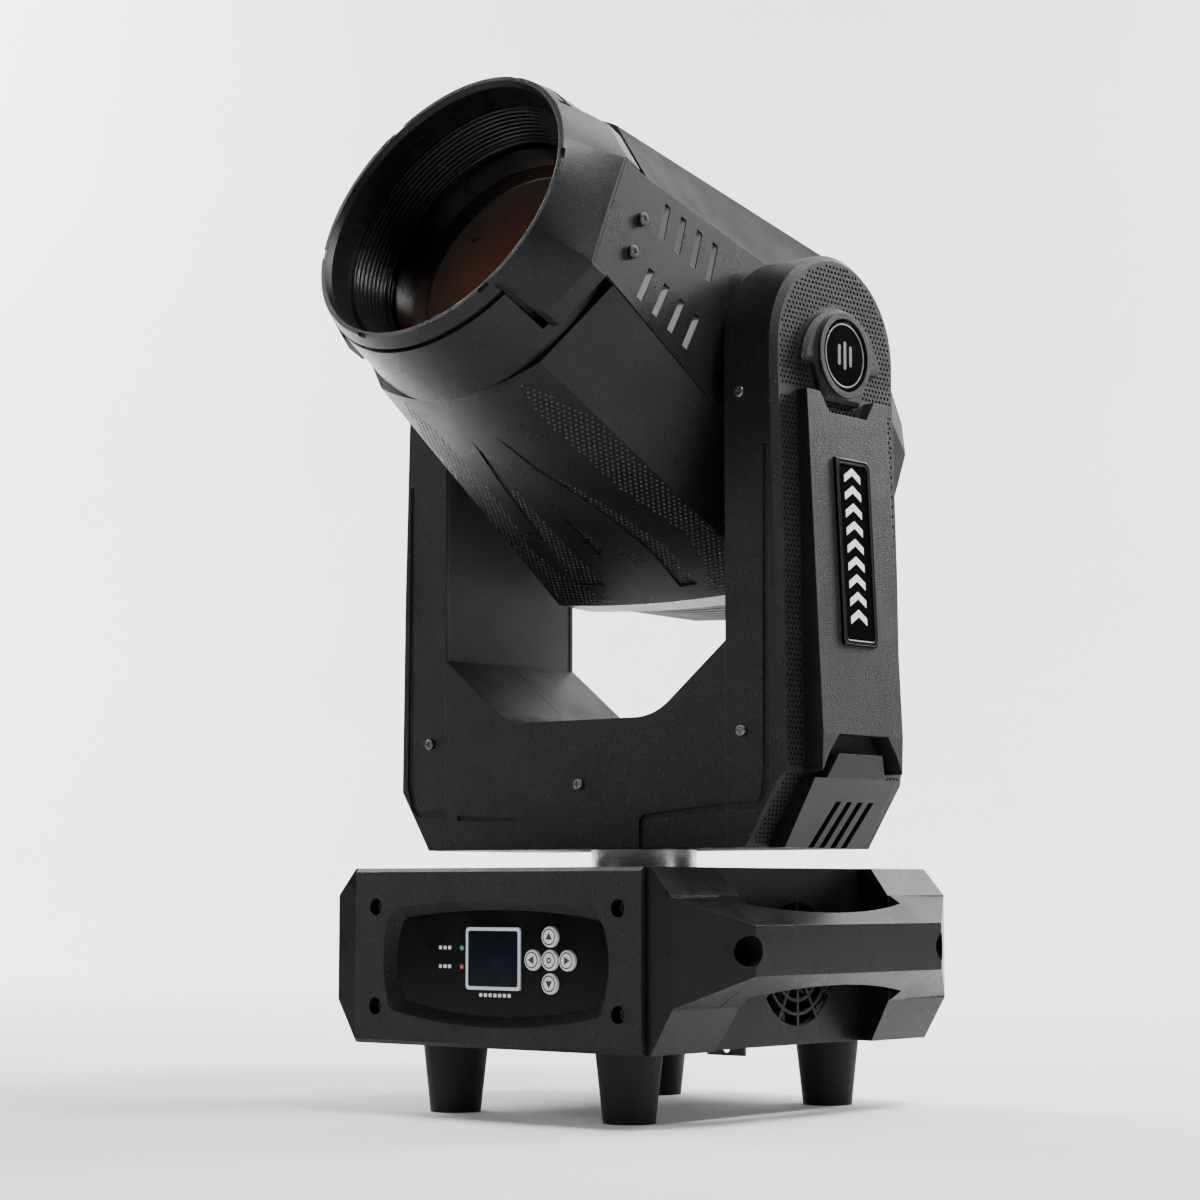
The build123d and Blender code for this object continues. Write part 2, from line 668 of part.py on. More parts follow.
def skirt_hollow():
    """Lightening pocket behind the raised panel."""
    face = poly([(155, 200), (skirt_x(200) - 4.6, 200), (skirt_x(390) - 4.6, 390), (155, 390)])
    return along_y(face, -SKIRT_HALF + WALL, SKIRT_HALF - WALL)


def hub_boss():
    """Boss round the medallion: a wide arc on a flat ledge, narrowing to a shield below."""
    r = 42.0
    ledge = TILT_Z - 7.6
    low = TILT_Z - 30.6
    arc = Pos(0, TILT_Z - 12.0) * Circle(r)
    arc &= poly([(-60, ledge), (60, ledge), (60, ledge + 60), (-60, ledge + 60)])
    shield = poly([(-28, ledge), (-19, low), (19, low), (28, ledge)])
    boss = along_x(arc, CAP_X - 2, MEDALLION_X - 1.0) + along_x(shield, CAP_X - 2, MEDALLION_X - 1.0)
    boss = chamfer(boss.edges().group_by(Axis.X)[-1], 2.6)
    return boss + rod_x(0, TILT_Z, MEDALLION_R + 4.0, CAP_X - 2, MEDALLION_X + 1.0)


def arm_vent_cover_right():
    """Chamfered corner cover under the arm with four slanted slots."""
    face = poly([(136.0, YOKE_BOTTOM), (148.5, YOKE_BOTTOM), (172.0, 166.0), (175.5, 181.0), (166.0, 181.0),
                 (163.9, ARM_CHAMFER_TOP)])
    side = poly([(-43, YOKE_BOTTOM - 1), (43, YOKE_BOTTOM - 1), (43, 166), (31, 166), (23, 181), (-23, 181),
                 (-31, 166), (-43, 166)])
    cover = along_y(face, -43, 43) & along_x(side, 130, 180)
    for step in range(4):
        y = -20.0 + 11.5 * step
        slot = poly([(y, YOKE_BOTTOM - 2), (y + 5.5, YOKE_BOTTOM - 2), (y + 14.5, 152), (y + 9.0, 152)])
        band = poly([(143.5, YOKE_BOTTOM - 2), (170, YOKE_BOTTOM - 2), (180, 152), (159.5, 152)])
        cover -= along_x(slot, 130, 180) & along_y(band, -50, 50)
    return cover


def arm_label_right():
    """Blank glossy plate in a raised frame on the arm's side panel."""
    y = (-LABEL_HALF, LABEL_HALF)
    plate = box((150, 190), y, LABEL_Z) & along_y(skirt_band(-2.0, 1.6), -30, 30)
    window = box((150, 190), (y[0] + 3, y[1] - 3), (LABEL_Z[0] + 3, LABEL_Z[1] - 3))
    return plate - (window & along_y(skirt_band(0.6, 5), -30, 30))


def medallion_right():
    disc = rod_x(0, TILT_Z, MEDALLION_R, CAP_X + 1.6, MEDALLION_X)
    return chamfer(disc.edges().group_by(Axis.X)[-1], 1.4)


def both_sides(piece):
    return piece + mirrored_x(piece)


def yoke_frame():
    """Folded steel fork: floor plate with the pan bearing housing, two uprights."""
    floor_z = YOKE_BOTTOM + WALL + 3.4
    frame = box((-123.5, 123.5), (-48, 48), (floor_z, floor_z + 3))
    frame += rod_z(0, 0, 46.0, floor_z, POST_TOP - 0.6)
    inner = YOKE_HALF_DEPTH - WALL - GAP
    plate = along_x(arm_side(inner, inner, floor_z), 120.5, 123.5)
    plate += ring_x(0, TILT_Z, 20, 28.5, 120.5, 126.5)
    plate -= rod_x(0, TILT_Z, 24.0, 118, 128)
    frame += both_sides(plate)
    frame += motor_bracket()
    return frame - rod_z(0, 0, 40.0, floor_z - 1, POST_TOP)


def motor_bracket():
    """Stand-off plate for the tilt motor and shelf for the pan motor."""
    z = TILT_MOTOR_Z
    bracket = box((135.5, 137.0), (-30, 30), (z - 30, z + 30)) - rod_x(0, z, 13, 130, 140)
    for sy in (-1, 1):
        bracket += box((123.5, 137.0), sorted((sy * 28.5, sy * 30)), (z - 30, z + 30))
    shelf = box((56, 108), (-30, 30), (POST_TOP + 11.5, POST_TOP + 13.0))
    shelf -= rod_z(PAN_MOTOR_X, 0, 13, 150, 165)
    for sy in (-1, 1):
        shelf += box((56, 108), sorted((sy * 46.5, sy * 48)), (130, POST_TOP + 13.0))
        shelf += box((56, 108), sorted((sy * 29, sy * 48)), (POST_TOP + 11.5, POST_TOP + 13.0))
    return bracket + shelf


def bearings():
    """Two rings on the pan spindle and one on each tilt axle."""
    pan_z = YOKE_BOTTOM + WALL + 3.4
    rings = ring_z(0, 0, SPINDLE_R + RUN, 40.0, pan_z, pan_z + 6.5)
    rings += ring_z(0, 0, SPINDLE_R + RUN, 40.0, pan_z + 7.5, POST_TOP - 0.8)
    tilt = ring_x(0, TILT_Z, AXLE_R + RUN, 24.0, 120.5, 126.5)
    return rings + both_sides(tilt)


def yoke_screws():
    screws = Part()
    front = Rot(90, 0, 0) * pan_head_screw(7.0, head_r=3.6)
    seats = [(0.0, 165.1)]
    seats += [(sx * 132.8, z) for sx in (-1, 1) for z in (195.0, 405.6)]
    for x, z in seats:
        screw = Pos(x, -YOKE_HALF_DEPTH, z) * front
        screws += screw
        screws += turned(screw)
    return screws


def motor(half, length):
    """Square stepper about Z, its shaft pointing down from z = 0."""
    body = box((-half, half), (-half, half), (0, length))
    body = chamfer(body.edges().filter_by(Axis.Z), 4.0)
    body += rod_z(0, 0, 11.0, -1.5, 0)
    return body + rod_z(0, 0, 2.5, -13.0, 0)


def pan_motor():
    return Pos(PAN_MOTOR_X, 0, POST_TOP + 13.0) * motor(21.0, 34.0)


def tilt_motor():
    return Pos(137.0, 0, TILT_MOTOR_Z) * Rot(0, 90, 0) * motor(21.0, 19.5)


def small_pulley(low, high):
    wheel = toothed_disc(SMALL_PULLEY_R, 15, low, high)
    return wheel - rod_z(0, 0, 2.5 + RUN, low - 1, high + 1)


def pan_motor_pulley():
    return Pos(PAN_MOTOR_X, 0, 0) * small_pulley(POST_TOP + 1.5, POST_TOP + 9.5)


def tilt_motor_pulley():
    return Pos(0, 0, TILT_MOTOR_Z) * Rot(0, 90, 0) * small_pulley(TILT_PULLEY_X[0], TILT_PULLEY_X[1])


def belt(span, low, high):
    """Flat loop round the large pulley at the origin and the small one at span along X."""
    outer = hull_of([(0, 0, BIG_PULLEY_R + GAP + BELT), (span, 0, SMALL_PULLEY_R + GAP + BELT)])
    inner = hull_of([(0, 0, BIG_PULLEY_R + GAP), (span, 0, SMALL_PULLEY_R + GAP)])
    return along_z(outer, low, high) - along_z(inner, low - 1, high + 1)


def pan_belt():
    return belt(PAN_MOTOR_X, POST_TOP + 2.0, POST_TOP + 9.0)


def tilt_belt():
    loop = belt(TILT_Z - TILT_MOTOR_Z, TILT_PULLEY_X[0] + 0.5, TILT_PULLEY_X[1] - 0.5)
    return Pos(0, 0, TILT_Z) * Rot(0, 90, 0) * loop


# ---- head, drawn upright about the tilt axis -------------------------------
def head_section(z):
    """Half width of the crest, crest height at the corner, flank width and flank half depth at z."""
    stations = {
        160.0: (68.0, 88.0, PLATE_X, 38.0, 17.0),
        -75.0: (93.0, 120.0, PLATE_X, 68.0, 5.0),
        -101.0: (89.0, 111.5, 104.0, 64.0, 4.0),
        -122.0: (84.0, 99.0, 98.0, 58.0, 3.0),
        REAR_Z: (70.0, 74.0, 80.0, 48.0, 2.0),
    }
    return stations[z]


def head_outline(z, inset):
    crest_x, crest_y, flank_x, flank_y, crown = head_section(z)
    cx, cy, fx, fy = crest_x - 0.6 * inset, crest_y - inset, flank_x - inset, flank_y - 0.4 * inset
    top = cy + crown
    edges = [
        Line((fx, -fy), (fx, fy)),
        Line((fx, fy), (cx, cy)),
        ThreePointArc((cx, cy), (0, top), (-cx, cy)),
        Line((-cx, cy), (-fx, fy)),
        Line((-fx, fy), (-fx, -fy)),
        Line((-fx, -fy), (-cx, -cy)),
        ThreePointArc((-cx, -cy), (0, -top), (cx, -cy)),
        Line((cx, -cy), (fx, -fy)),
    ]
    return make_face(edges)


def head_hull(stations, inset):
    hull = None
    for front, rear in zip(stations, stations[1:]):
        span = loft([Plane.XY.offset(front) * head_outline(front, inset),
                     Plane.XY.offset(rear) * head_outline(rear, inset)], ruled=True)
        hull = span if hull is None else hull + span
    return hull


def plate_wedge(grow):
    """Side plate seen from the side: narrow in front, widening to the rear."""
    front, rear = PLATE_FRONT_Z + grow, PLATE_REAR_Z - grow
    half_front = 36.0 + grow
    half_rear = half_front + (front - rear) * 0.126
    return poly([(-half_front, front), (half_front, front), (half_rear, rear + 26), (half_rear - 20, rear),
                 (-half_rear + 20, rear), (-half_rear, rear + 26)])


def head_covers():
    """Outer skin behind the collar, without the side plates."""
    stations = [160.0, -75.0, -101.0, -122.0]
    skin = head_hull(stations, 0) - head_hull(stations, 2.6)
    skin -= box((-130, 130), (-130, 130), (COLLAR_Z, 170))
    lip = along_z(head_outline(160.0, 1.0), COLLAR_Z - 2.4, COLLAR_Z)
    skin += lip - rod_z(0, 0, 101.0, 150, 160)
    wedge = plate_wedge(GAP)
    skin -= along_x(wedge, PLATE_X - 5, 130)
    skin -= along_x(wedge, -130, -PLATE_X + 5)
    return skin


def head_cover_upper():
    return in_head(head_covers() & box((-130, 130), (GAP / 2, 140), (-130, 170)))


def claw_marks():
    """Outlines of the swept relief marks under the head, as (x, z) faces."""
    long_blade = poly([(-18.5, 114), (-34, 61), (-50.5, -9), (-60, -52), (-31, -52), (-28.5, 21), (-23.5, 61)])
    band = poly([(3.2, 118), (8, 79), (18, 50), (26.5, 16), (31, -20), (27, -60), (42, -60), (45.5, -20),
                 (37, 16), (25.5, 50), (12.5, 79)])
    small_blade = poly([(-8.5, 29), (-10.5, -18), (0.5, -8)])
    return [long_blade, band, small_blade]


def head_cover_lower():
    cover = head_covers() & box((-130, 130), (-140, -GAP / 2), (-130, 170))
    stations = [160.0, -75.0]
    depth = head_hull(stations, -1.0) - head_hull(stations, CLAW_DEPTH)
    for mark in claw_marks():
        cover -= along_y(mark, -140, -60) & depth
    return in_head(cover)


def head_side_plates():
    """Flat louvred plates over the tilt axles."""
    plate = along_x(plate_wedge(0), PLATE_X - 2.4, PLATE_X)
    plate -= rod_x(0, 0, 30.0, 100, 120)
    for row in (-1, 1):
        for step in range(4):
            z = 131.0 - 16.5 * step
            y0, y1 = 11.5 + 0.6 * step, 34.5 + 1.4 * step
            slot = poly([(row * y0, z - 3), (row * y1, z), (row * y1, z + 5.5), (row * y0, z + 2.5)])
            plate -= along_x(slot, 100, 120)
    for sy in (-1, 1):
        plate -= rod_x(sy * 12.0, 151.5, 2.2, 100, 120)
    return in_head(both_sides(plate))


def cone(r_low, r_high, low, high):
    return Pos(0, 0, (low + high) / 2) * Cone(r_low, r_high, high - low)


def split_circle(r):
    """Circle whose eight arcs face the eight sides of the head's outline."""
    crest_x, crest_y, flank_x, flank_y, _ = head_section(160.0)
    low = atan2(flank_y, flank_x)
    high = atan2(crest_y, crest_x)
    stops = [-low, low, high, pi - high, pi - low, pi + low, pi + high, 2 * pi - high, 2 * pi - low]
    edges = []
    for a, b in zip(stops, stops[1:]):
        arc = [(r * cos(t), r * sin(t)) for t in (a, (a + b) / 2, b)]
        edges.append(ThreePointArc(*arc))
    return make_face(edges)


def front_bezel():
    """Collar and hood: tapered ring, grooved behind its lip, with flared cheeks at the sides."""
    body = cone(106.5, 100.5, COLLAR_Z + GAP, 204.0)
    body += rod_z(0, 0, 97.0, 200, 208)
    body += cone(99.5, RIM_R, 207.0, RIM_Z)
    cheeks = loft([Plane.XY.offset(PLATE_FRONT_Z) * head_outline(160.0, -1.0),
                   Plane.XY.offset(RIM_Z) * split_circle(RIM_R + 0.5)], ruled=True)
    cheeks += along_z(head_outline(160.0, -1.0), 166.0, PLATE_FRONT_Z)
    cheeks &= box((-PLATE_X, PLATE_X), (-70, 70), (166, RIM_Z))
    body += cheeks - box((-72, 72), (-120, 120), (150, 220))
    for sx in (-1, 1):
        for sy in (-1, 1):
            turn = 43.0 if sx == sy else -43.0
            slot = box(sorted((sx * 93.5, sx * 125)), (-2.6, 2.6), (169, 212))
            body -= Rot(0, 0, turn) * slot
    wedge = plate_wedge(GAP)
    for low, high in ((PLATE_X - 5, 130), (-130, -PLATE_X + 5)):
        body -= along_x(wedge, low, high)
    body -= rod_z(0, 0, 91.5, 150, RIM_Z + 1)
    body -= cone(91.5, 93.5, RIM_Z - 4, RIM_Z + 0.01)
    for step in range(6):
        body -= Rot(0, 0, 60 * step + 12) * box((94.8, 99), (-4, 4), (RIM_Z - 1.6, RIM_Z + 1))
    return in_head(body)


def lens_baffle():
    """Stepped light baffle in the hood; its last ring holds the lens."""
    baffle = rod_z(0, 0, 91.3, 158.0, 194.0)
    steps = 8
    for step in range(steps):
        z = 172.0 + 22.0 * step / steps
        baffle -= rod_z(0, 0, 82.0 + 0.85 * step, z, 196)
    baffle -= rod_z(0, 0, 78.0, 150, 180)
    baffle -= rod_z(0, 0, LENS_R + 0.1, 160, 171)
    return in_head(baffle)


def front_lens():
    """Plano-convex objective."""
    edge_h = 4.0
    crown = 11.0
    radius = (LENS_R ** 2 + crown ** 2) / (2 * crown)
    lens = rod_z(0, 0, LENS_R, LENS_Z - 4, LENS_Z + edge_h)
    dome = Pos(0, 0, LENS_Z + edge_h + crown - radius) * Sphere(radius)
    dome &= rod_z(0, 0, LENS_R - 1.2, LENS_Z + 1, LENS_Z + edge_h + crown + 1)
    return in_head(lens + dome)


def head_rear_cover():
    """Ribbed tail cover with an outlet for the fan."""
    stations = [-122.0, REAR_Z]
    shell = head_hull(stations, 0) - head_hull(stations, 2.6)
    shell &= box((-130, 130), (-130, 130), (REAR_Z - 1, -122.0 - GAP))
    shell += along_z(head_outline(REAR_Z, 0), REAR_Z, REAR_Z + 2.6)
    for step in range(5):
        z = -134.0 - 10.0 * step
        for sy in (-1, 1):
            half_y = 99.0 - (-122.0 - z) * 25.0 / 66.0
            shell -= box((-60, 60), sorted((sy * (half_y + 1.2), sy * (half_y + 12))), (z - 3, z))
    for step in range(7):
        y = -30 + 10 * step
        shell -= box((-34, 34), (y - 2.4, y + 2.4), (REAR_Z - 1, REAR_Z + 4))
    return in_head(shell)


def head_frame():
    """Inner frame: two flanks, a lens ring, a centre bulkhead and a rear bulkhead."""
    flank = box((103.0, 106.0), (-34, 34), (-80, COLLAR_Z - 2.7))
    flank -= rod_x(0, 0, AXLE_R + 2, 100, 110)
    flank += ring_x(0, 0, AXLE_R, 30, 103, 108)
    for y in (-12.0, 12.0):
        flank -= rod_x(y, 151.5, 2.0, 100, 108)
    frame = both_sides(flank)
    ring = box((-104, 104), (-40, 40), (146, 149)) + rod_z(0, 0, 86, 146, 157.7)
    frame += ring - rod_z(0, 0, 76.0, 140, 160)
    frame += box((-104, 104), (-50, 50), (32, 35)) - rod_z(0, 0, 26.0, 30, 40)
    frame += box((-97, 97), (-50, 50), (-46, -43)) - rod_z(0, 0, 30.0, -50, -40)
    frame += box((-97, -95), (-34, 34), (-110, -46)) + box((95, 97), (-34, 34), (-110, -46))
    for sx in (-1, 1):
        frame += box(sorted((sx * 95, sx * 106)), (-34, 34), (-46, -43))
        frame -= rod_z(sx * FOCUS_ROD_X, 0, 4.0, 30, 40)
        frame -= rod_z(sx * FOCUS_ROD_X, 0, 4.0, 145, 147.5)
    for y, z in ((WHEEL_Y, -43), (-WHEEL_Y, -43)):
        frame -= rod_z(0, y, 3.0, -47, -42)
    return in_head(frame)


def focus_rods():
    rods = Part()
    for sx in (-1, 1):
        rods += rod_z(sx * FOCUS_ROD_X, 0, 4.0, 32.0, 147.5)
    return in_head(rods)


def focus_carriage():
    """Plate with the focusing lens, sliding on the two rods."""
    plate = box((-90, 90), (-14, 14), (84, 92)) + rod_z(0, 0, 44, 82, 94)
    plate -= rod_z(0, 0, 36, 80, 96)
    plate += rod_z(0, 0, 36, 86, 90)
    for sx in (-1, 1):
        plate += rod_z(sx * FOCUS_ROD_X, 0, 9, 78, 98)
        plate -= rod_z(sx * FOCUS_ROD_X, 0, 4.0 + RUN, 70, 105)
    return in_head(plate)


def wheel(y, z, radius, windows, window_r):
    """Disc of windows about its own spindle, which ends in the rear bulkhead."""
    disc = rod_z(0, y, radius, z, z + 2)
    for step in range(windows):
        turn = radians(360 * step / windows)
        disc -= rod_z(WHEEL_Y * sin(turn), y + WHEEL_Y * cos(turn), window_r, z - 1, z + 3)
    return disc + rod_z(0, y, 3.0 - RUN, -45.5, z + 5)


def colour_wheel():
    return in_head(wheel(WHEEL_Y, COLOUR_Z, 60.0, 12, 9.0))


def gobo_wheel():
    return in_head(wheel(-WHEEL_Y, GOBO_Z, 58.0, 12, 8.0))


def lamp_unit():
    """Discharge lamp in its ellipsoidal reflector."""
    bowl = cone(14.0, 52.0, -98.0, -58.0) - cone(11.0, 49.0, -97.9, -57.9)
    bowl += ring_z(0, 0, 49.0, 56.0, -60.0, -57.0)
    bowl += rod_z(0, 0, 14.0, -118.0, -97.0)
    bulb = rod_z(0, 0, 5.0, -98.0, -82.0) + Pos(0, 0, -80) * Sphere(8.0)
    bracket = box((-95, 95), (-12, 12), (-108, -105)) - rod_z(0, 0, 13.0, -110, -100)
    return in_head(bowl + bulb + bracket)


def head_fan_frame():
    return in_head(Pos(0, 0, REAR_Z + 12.6) * fan_housing(40.0, 38.0, 20.0))


def head_fan_rotor():
    return in_head(Pos(0, 0, REAR_Z + 14.2) * fan_blades(36.5, 15.0, 14.5, 7))


def tilt_axles():
    """Flanged stub axles bolted to the head frame."""
    axle = ring_x(0, 0, 9.0, AXLE_R, 103.0, 137.0)
    axle += ring_x(0, 0, 9.0, 28.0, 108.0, 112.5)
    return in_head(both_sides(axle))


def tilt_pulley():
    wheel_z = toothed_disc(BIG_PULLEY_R, 60, TILT_PULLEY_X[0], TILT_PULLEY_X[1])
    wheel_z -= rod_z(0, 0, AXLE_R, 100, 160)
    return in_head(Rot(0, 90, 0) * wheel_z)


def head_screws():
    screws = Part()
    right = Rot(0, 90, 0) * pan_head_screw(6.0, head_r=4.2)
    for y in (-12.0, 12.0):
        screws += Pos(PLATE_X, y, 151.5) * right
    return in_head(both_sides(screws))


# ---- write every piece ----------------------------------------------------
def pieces():
    named = {
        "base_chassis": base_chassis(),
        "base_front_panel": base_front_panel(),
        "base_rear_panel": base_rear_panel(),
        "base_handle_right": base_handle_right(),
        "base_handle_left": mirrored_x(base_handle_right()),
        "base_top_plate": base_top_plate(),
        "base_bottom_plate": base_bottom_plate(),
        "rubber_feet": rubber_feet(),
        "base_screws": base_screws(),
        "control_bezel": control_bezel(),
        "lcd_display": lcd_display(),
        "control_board": control_board(),
        "status_leds": status_leds(),
        "power_supply": power_supply(),
        "base_fan_frame": base_fan_frame(),
        "base_fan_rotor": base_fan_rotor(),
        "pan_spindle": pan_spindle(),
        "pan_pulley": pan_pulley(),
        "power_inlet": power_inlet(),
        "signal_sockets": signal_sockets(),
        "safety_eye": safety_eye(),
        "yoke_frame": yoke_frame(),
        "yoke_front_cover": yoke_front_cover(),
        "yoke_rear_cover": yoke_rear_cover(),
        "arm_shell_right": arm_shell_right(),
        "arm_shell_left": mirrored_x(arm_shell_right()),
        "arm_medallions": both_sides(medallion_right()),
        "arm_label_plates": both_sides(arm_label_right()),
        "arm_vent_covers": both_sides(arm_vent_cover_right()),
        "yoke_screws": yoke_screws(),
        "bearings": bearings(),
        "pan_motor": pan_motor(),
        "pan_motor_pulley": pan_motor_pulley(),
        "pan_belt": pan_belt(),
        "tilt_motor": tilt_motor(),
        "tilt_motor_pulley": tilt_motor_pulley(),
        "tilt_belt": tilt_belt(),
        "head_frame": head_frame(),
        "head_cover_upper": head_cover_upper(),
        "head_cover_lower": head_cover_lower(),
        "head_side_plates": head_side_plates(),
        "front_bezel": front_bezel(),
        "lens_baffle": lens_baffle(),
        "front_lens": front_lens(),
        "head_rear_cover": head_rear_cover(),
        "tilt_axles": tilt_axles(),
        "tilt_pulley": tilt_pulley(),
        "lamp_unit": lamp_unit(),
        "head_fan_frame": head_fan_frame(),
        "head_fan_rotor": head_fan_rotor(),
        "focus_rods": focus_rods(),
        "focus_carriage": focus_carriage(),
        "colour_wheel": colour_wheel(),
        "gobo_wheel": gobo_wheel(),
        "head_screws": head_screws(),
    }
    for name, (x, z) in button_points().items():
        named["button_" + name] = button(x, z)
    return named


os.makedirs("parts", exist_ok=True)
for node, shape in pieces().items():
    export_step(shape, os.path.join("parts", node + ".step"))
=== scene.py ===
"""Moving head light: materials, fine surface detail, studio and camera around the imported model."""
import bpy
import bmesh
from math import cos, pi, radians, sin, sqrt
from mathutils import Matrix, Vector


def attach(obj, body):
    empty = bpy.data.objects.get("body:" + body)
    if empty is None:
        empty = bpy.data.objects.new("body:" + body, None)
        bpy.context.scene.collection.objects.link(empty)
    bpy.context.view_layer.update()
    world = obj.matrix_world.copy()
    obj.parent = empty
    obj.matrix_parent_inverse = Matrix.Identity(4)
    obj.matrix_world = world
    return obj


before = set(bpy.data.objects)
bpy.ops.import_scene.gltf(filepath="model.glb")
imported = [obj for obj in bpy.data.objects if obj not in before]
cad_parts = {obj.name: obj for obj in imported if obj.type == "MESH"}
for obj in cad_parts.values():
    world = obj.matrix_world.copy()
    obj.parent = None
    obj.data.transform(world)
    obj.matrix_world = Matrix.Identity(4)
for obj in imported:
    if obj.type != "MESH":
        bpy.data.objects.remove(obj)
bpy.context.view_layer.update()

MM = 0.001
TILT_Z = 433.6                   # height of the tilt axis, mm
REST_LEAN = 66.2                 # lean of the beam from straight up, degrees
TILT = Vector((0.0, 0.0, 0.4336))
LEAN = Matrix.Rotation(radians(REST_LEAN), 3, "X")
HEAD = Matrix.Translation(TILT) @ LEAN.to_4x4()
FLOOR_Z = -0.0439
VIEW_TURN = 40.7                 # the camera's turn about Z, degrees; the backdrop faces it


# ---- shader helpers --------------------------------------------------------
class Shade:
    """One Principled material with a few short calls for its nodes."""

    def __init__(self, name, rough=0.5, metal=0.0, **fixed):
        self.mat = bpy.data.materials.new(name)
        self.mat.use_nodes = True
        self.nt = self.mat.node_tree
        self.nt.nodes.clear()
        out = self.nt.nodes.new("ShaderNodeOutputMaterial")
        self.bsdf = self.nt.nodes.new("ShaderNodeBsdfPrincipled")
        self.nt.links.new(self.bsdf.outputs["BSDF"], out.inputs["Surface"])
        self.bsdf.inputs["Roughness"].default_value = rough
        self.bsdf.inputs["Metallic"].default_value = metal
        for key, value in fixed.items():
            self.bsdf.inputs[key.replace("_", " ")].default_value = value
        self.coords = self.nt.nodes.new("ShaderNodeTexCoord").outputs["Object"]

    def node(self, kind, inputs=None, **props):
        n = self.nt.nodes.new(kind)
        for key, value in props.items():
            setattr(n, key, value)
        for key, value in (inputs or {}).items():
            self.put(n.inputs[key], value)
        return n

    def put(self, socket, value):
        if isinstance(value, bpy.types.NodeSocket):
            self.nt.links.new(value, socket)
        else:
            socket.default_value = value

    def set(self, name, value):
        self.put(self.bsdf.inputs[name], value)
        return self

    def noise(self, scale, detail=3.0, rough=0.55, stretch=None):
        where = self.coords
        if stretch:
            where = self.node("ShaderNodeMapping", {"Vector": where, "Scale": stretch}).outputs[0]
        n = self.node("ShaderNodeTexNoise", {"Vector": where, "Scale": scale, "Detail": detail,
                                             "Roughness": rough})
        return n.outputs[0]

    def cells(self, scale, feature="F1"):
        n = self.node("ShaderNodeTexVoronoi", {"Vector": self.coords, "Scale": scale}, feature=feature)
        return n.outputs["Distance"]

    def span(self, value, low, high, to_low=0.0, to_high=1.0):
        return self.node("ShaderNodeMapRange", {"Value": value, "From Min": low, "From Max": high,
                                                "To Min": to_low, "To Max": to_high}).outputs[0]

    def math(self, op, a, b=0.0):
        return self.node("ShaderNodeMath", {0: a, 1: b}, operation=op).outputs[0]

    def mix(self, fac, a, b):
        n = self.node("ShaderNodeMix", data_type="RGBA")
        self.put(n.inputs[0], fac)
        for index, value in ((6, a), (7, b)):
            if not isinstance(value, bpy.types.NodeSocket):
                value = (*value, 1.0)
            self.put(n.inputs[index], value)
        return n.outputs[2]

    def edges(self, radius):
        """Rounded normal and a mask of the edges, which carry wear and, in moulded plastic, a painted
        highlight.
        """
        soft = self.node("ShaderNodeBevel", {"Radius": radius}, samples=8).outputs[0]
        hard = self.node("ShaderNodeNewGeometry").outputs["Normal"]
        both = self.node("ShaderNodeVectorMath", {0: soft, 1: hard}, operation="DOT_PRODUCT")
        return soft, self.span(both.outputs["Value"], 0.96, 0.82)

    def bump(self, height, distance, strength=1.0, normal=None):
        n = self.node("ShaderNodeBump", {"Height": height, "Distance": distance, "Strength": strength})
        if normal is not None:
            self.put(n.inputs["Normal"], normal)
        return n.outputs[0]


def moulded(name, base, light, rough, grain, depth, painted_sparkle=0.0, wear_and_highlight=0.5, edge=0.0008, **fixed):
    """Moulded plastic or powder coat: grain, faint mottling, painted glints, duller patches and lighter
    edges that are partly wear and partly painted highlight.
    """
    s = Shade(name, rough, **fixed)
    mottle = s.noise(14.0, 4.0)
    fine = s.noise(grain, 2.0, 0.6)
    colour = s.mix(s.span(mottle, 0.3, 0.7), base, light)
    if painted_sparkle:
        # painted glints: light specks mixed into the colour stand in for sparkle in the highlights
        glint_cells = s.span(s.cells(grain * 0.55), 0.24, 0.1)
        patchy = s.span(s.noise(grain * 0.5, 1.0), 0.5, 0.62)
        glint = s.math("MULTIPLY", s.math("MULTIPLY", glint_cells, patchy), painted_sparkle)
        colour = s.mix(glint, colour, (0.3, 0.3, 0.32))
    soft, edge_mask = s.edges(edge)
    # lighter colour at the edges: partly wear, partly painted edge highlight
    scuff_and_highlight = s.math("MULTIPLY", edge_mask, s.span(s.noise(90.0, 5.0), 0.4, 0.65, 0.15, wear_and_highlight))
    colour = s.mix(scuff_and_highlight, colour, tuple(min(1.0, 4.0 * c + 0.03) for c in base))
    s.set("Base Color", colour)
    patch = s.span(s.noise(35.0, 4.0), 0.3, 0.7, rough - 0.06, rough + 0.07)
    s.set("Roughness", s.math("SUBTRACT", patch, s.math("MULTIPLY", scuff_and_highlight, 0.12)))
    s.set("Normal", s.bump(fine, depth, 1.0, soft))
    return s.mat


def metal(name, base, rough, stretch, scale, depth, edge=0.0004):
    """Turned, drawn or sheet metal with its tool marks and slight tarnish."""
    s = Shade(name, rough, 1.0)
    marks = s.noise(scale, 3.0, 0.6, stretch)
    tarnish = s.noise(40.0, 5.0)
    dark = tuple(0.55 * c for c in base)
    colour = s.mix(s.span(tarnish, 0.35, 0.7), base, dark)
    soft, edge_mask = s.edges(edge)
    s.set("Base Color", s.mix(s.math("MULTIPLY", edge_mask, 0.5), colour, tuple(min(1, 1.3 * c) for c in base)))
    s.set("Roughness", s.span(marks, 0.3, 0.7, rough - 0.1, rough + 0.12))
    s.set("Normal", s.bump(marks, depth, 0.6, soft))
    return s.mat


def led_lens():
    """Green lens above, red lens below."""
    s = Shade("led_lens", 0.15)
    height = s.node("ShaderNodeSeparateXYZ", {"Vector": s.coords}).outputs["Z"]
    tint = s.mix(s.span(height, 0.0554, 0.0556), (0.5, 0.03, 0.02), (0.02, 0.32, 0.16))
    s.set("Base Color", s.mix(s.span(s.noise(900.0, 2.0), 0.3, 0.7, 0.0, 0.2), tint, (0.6, 0.6, 0.6)))
    return s.mat


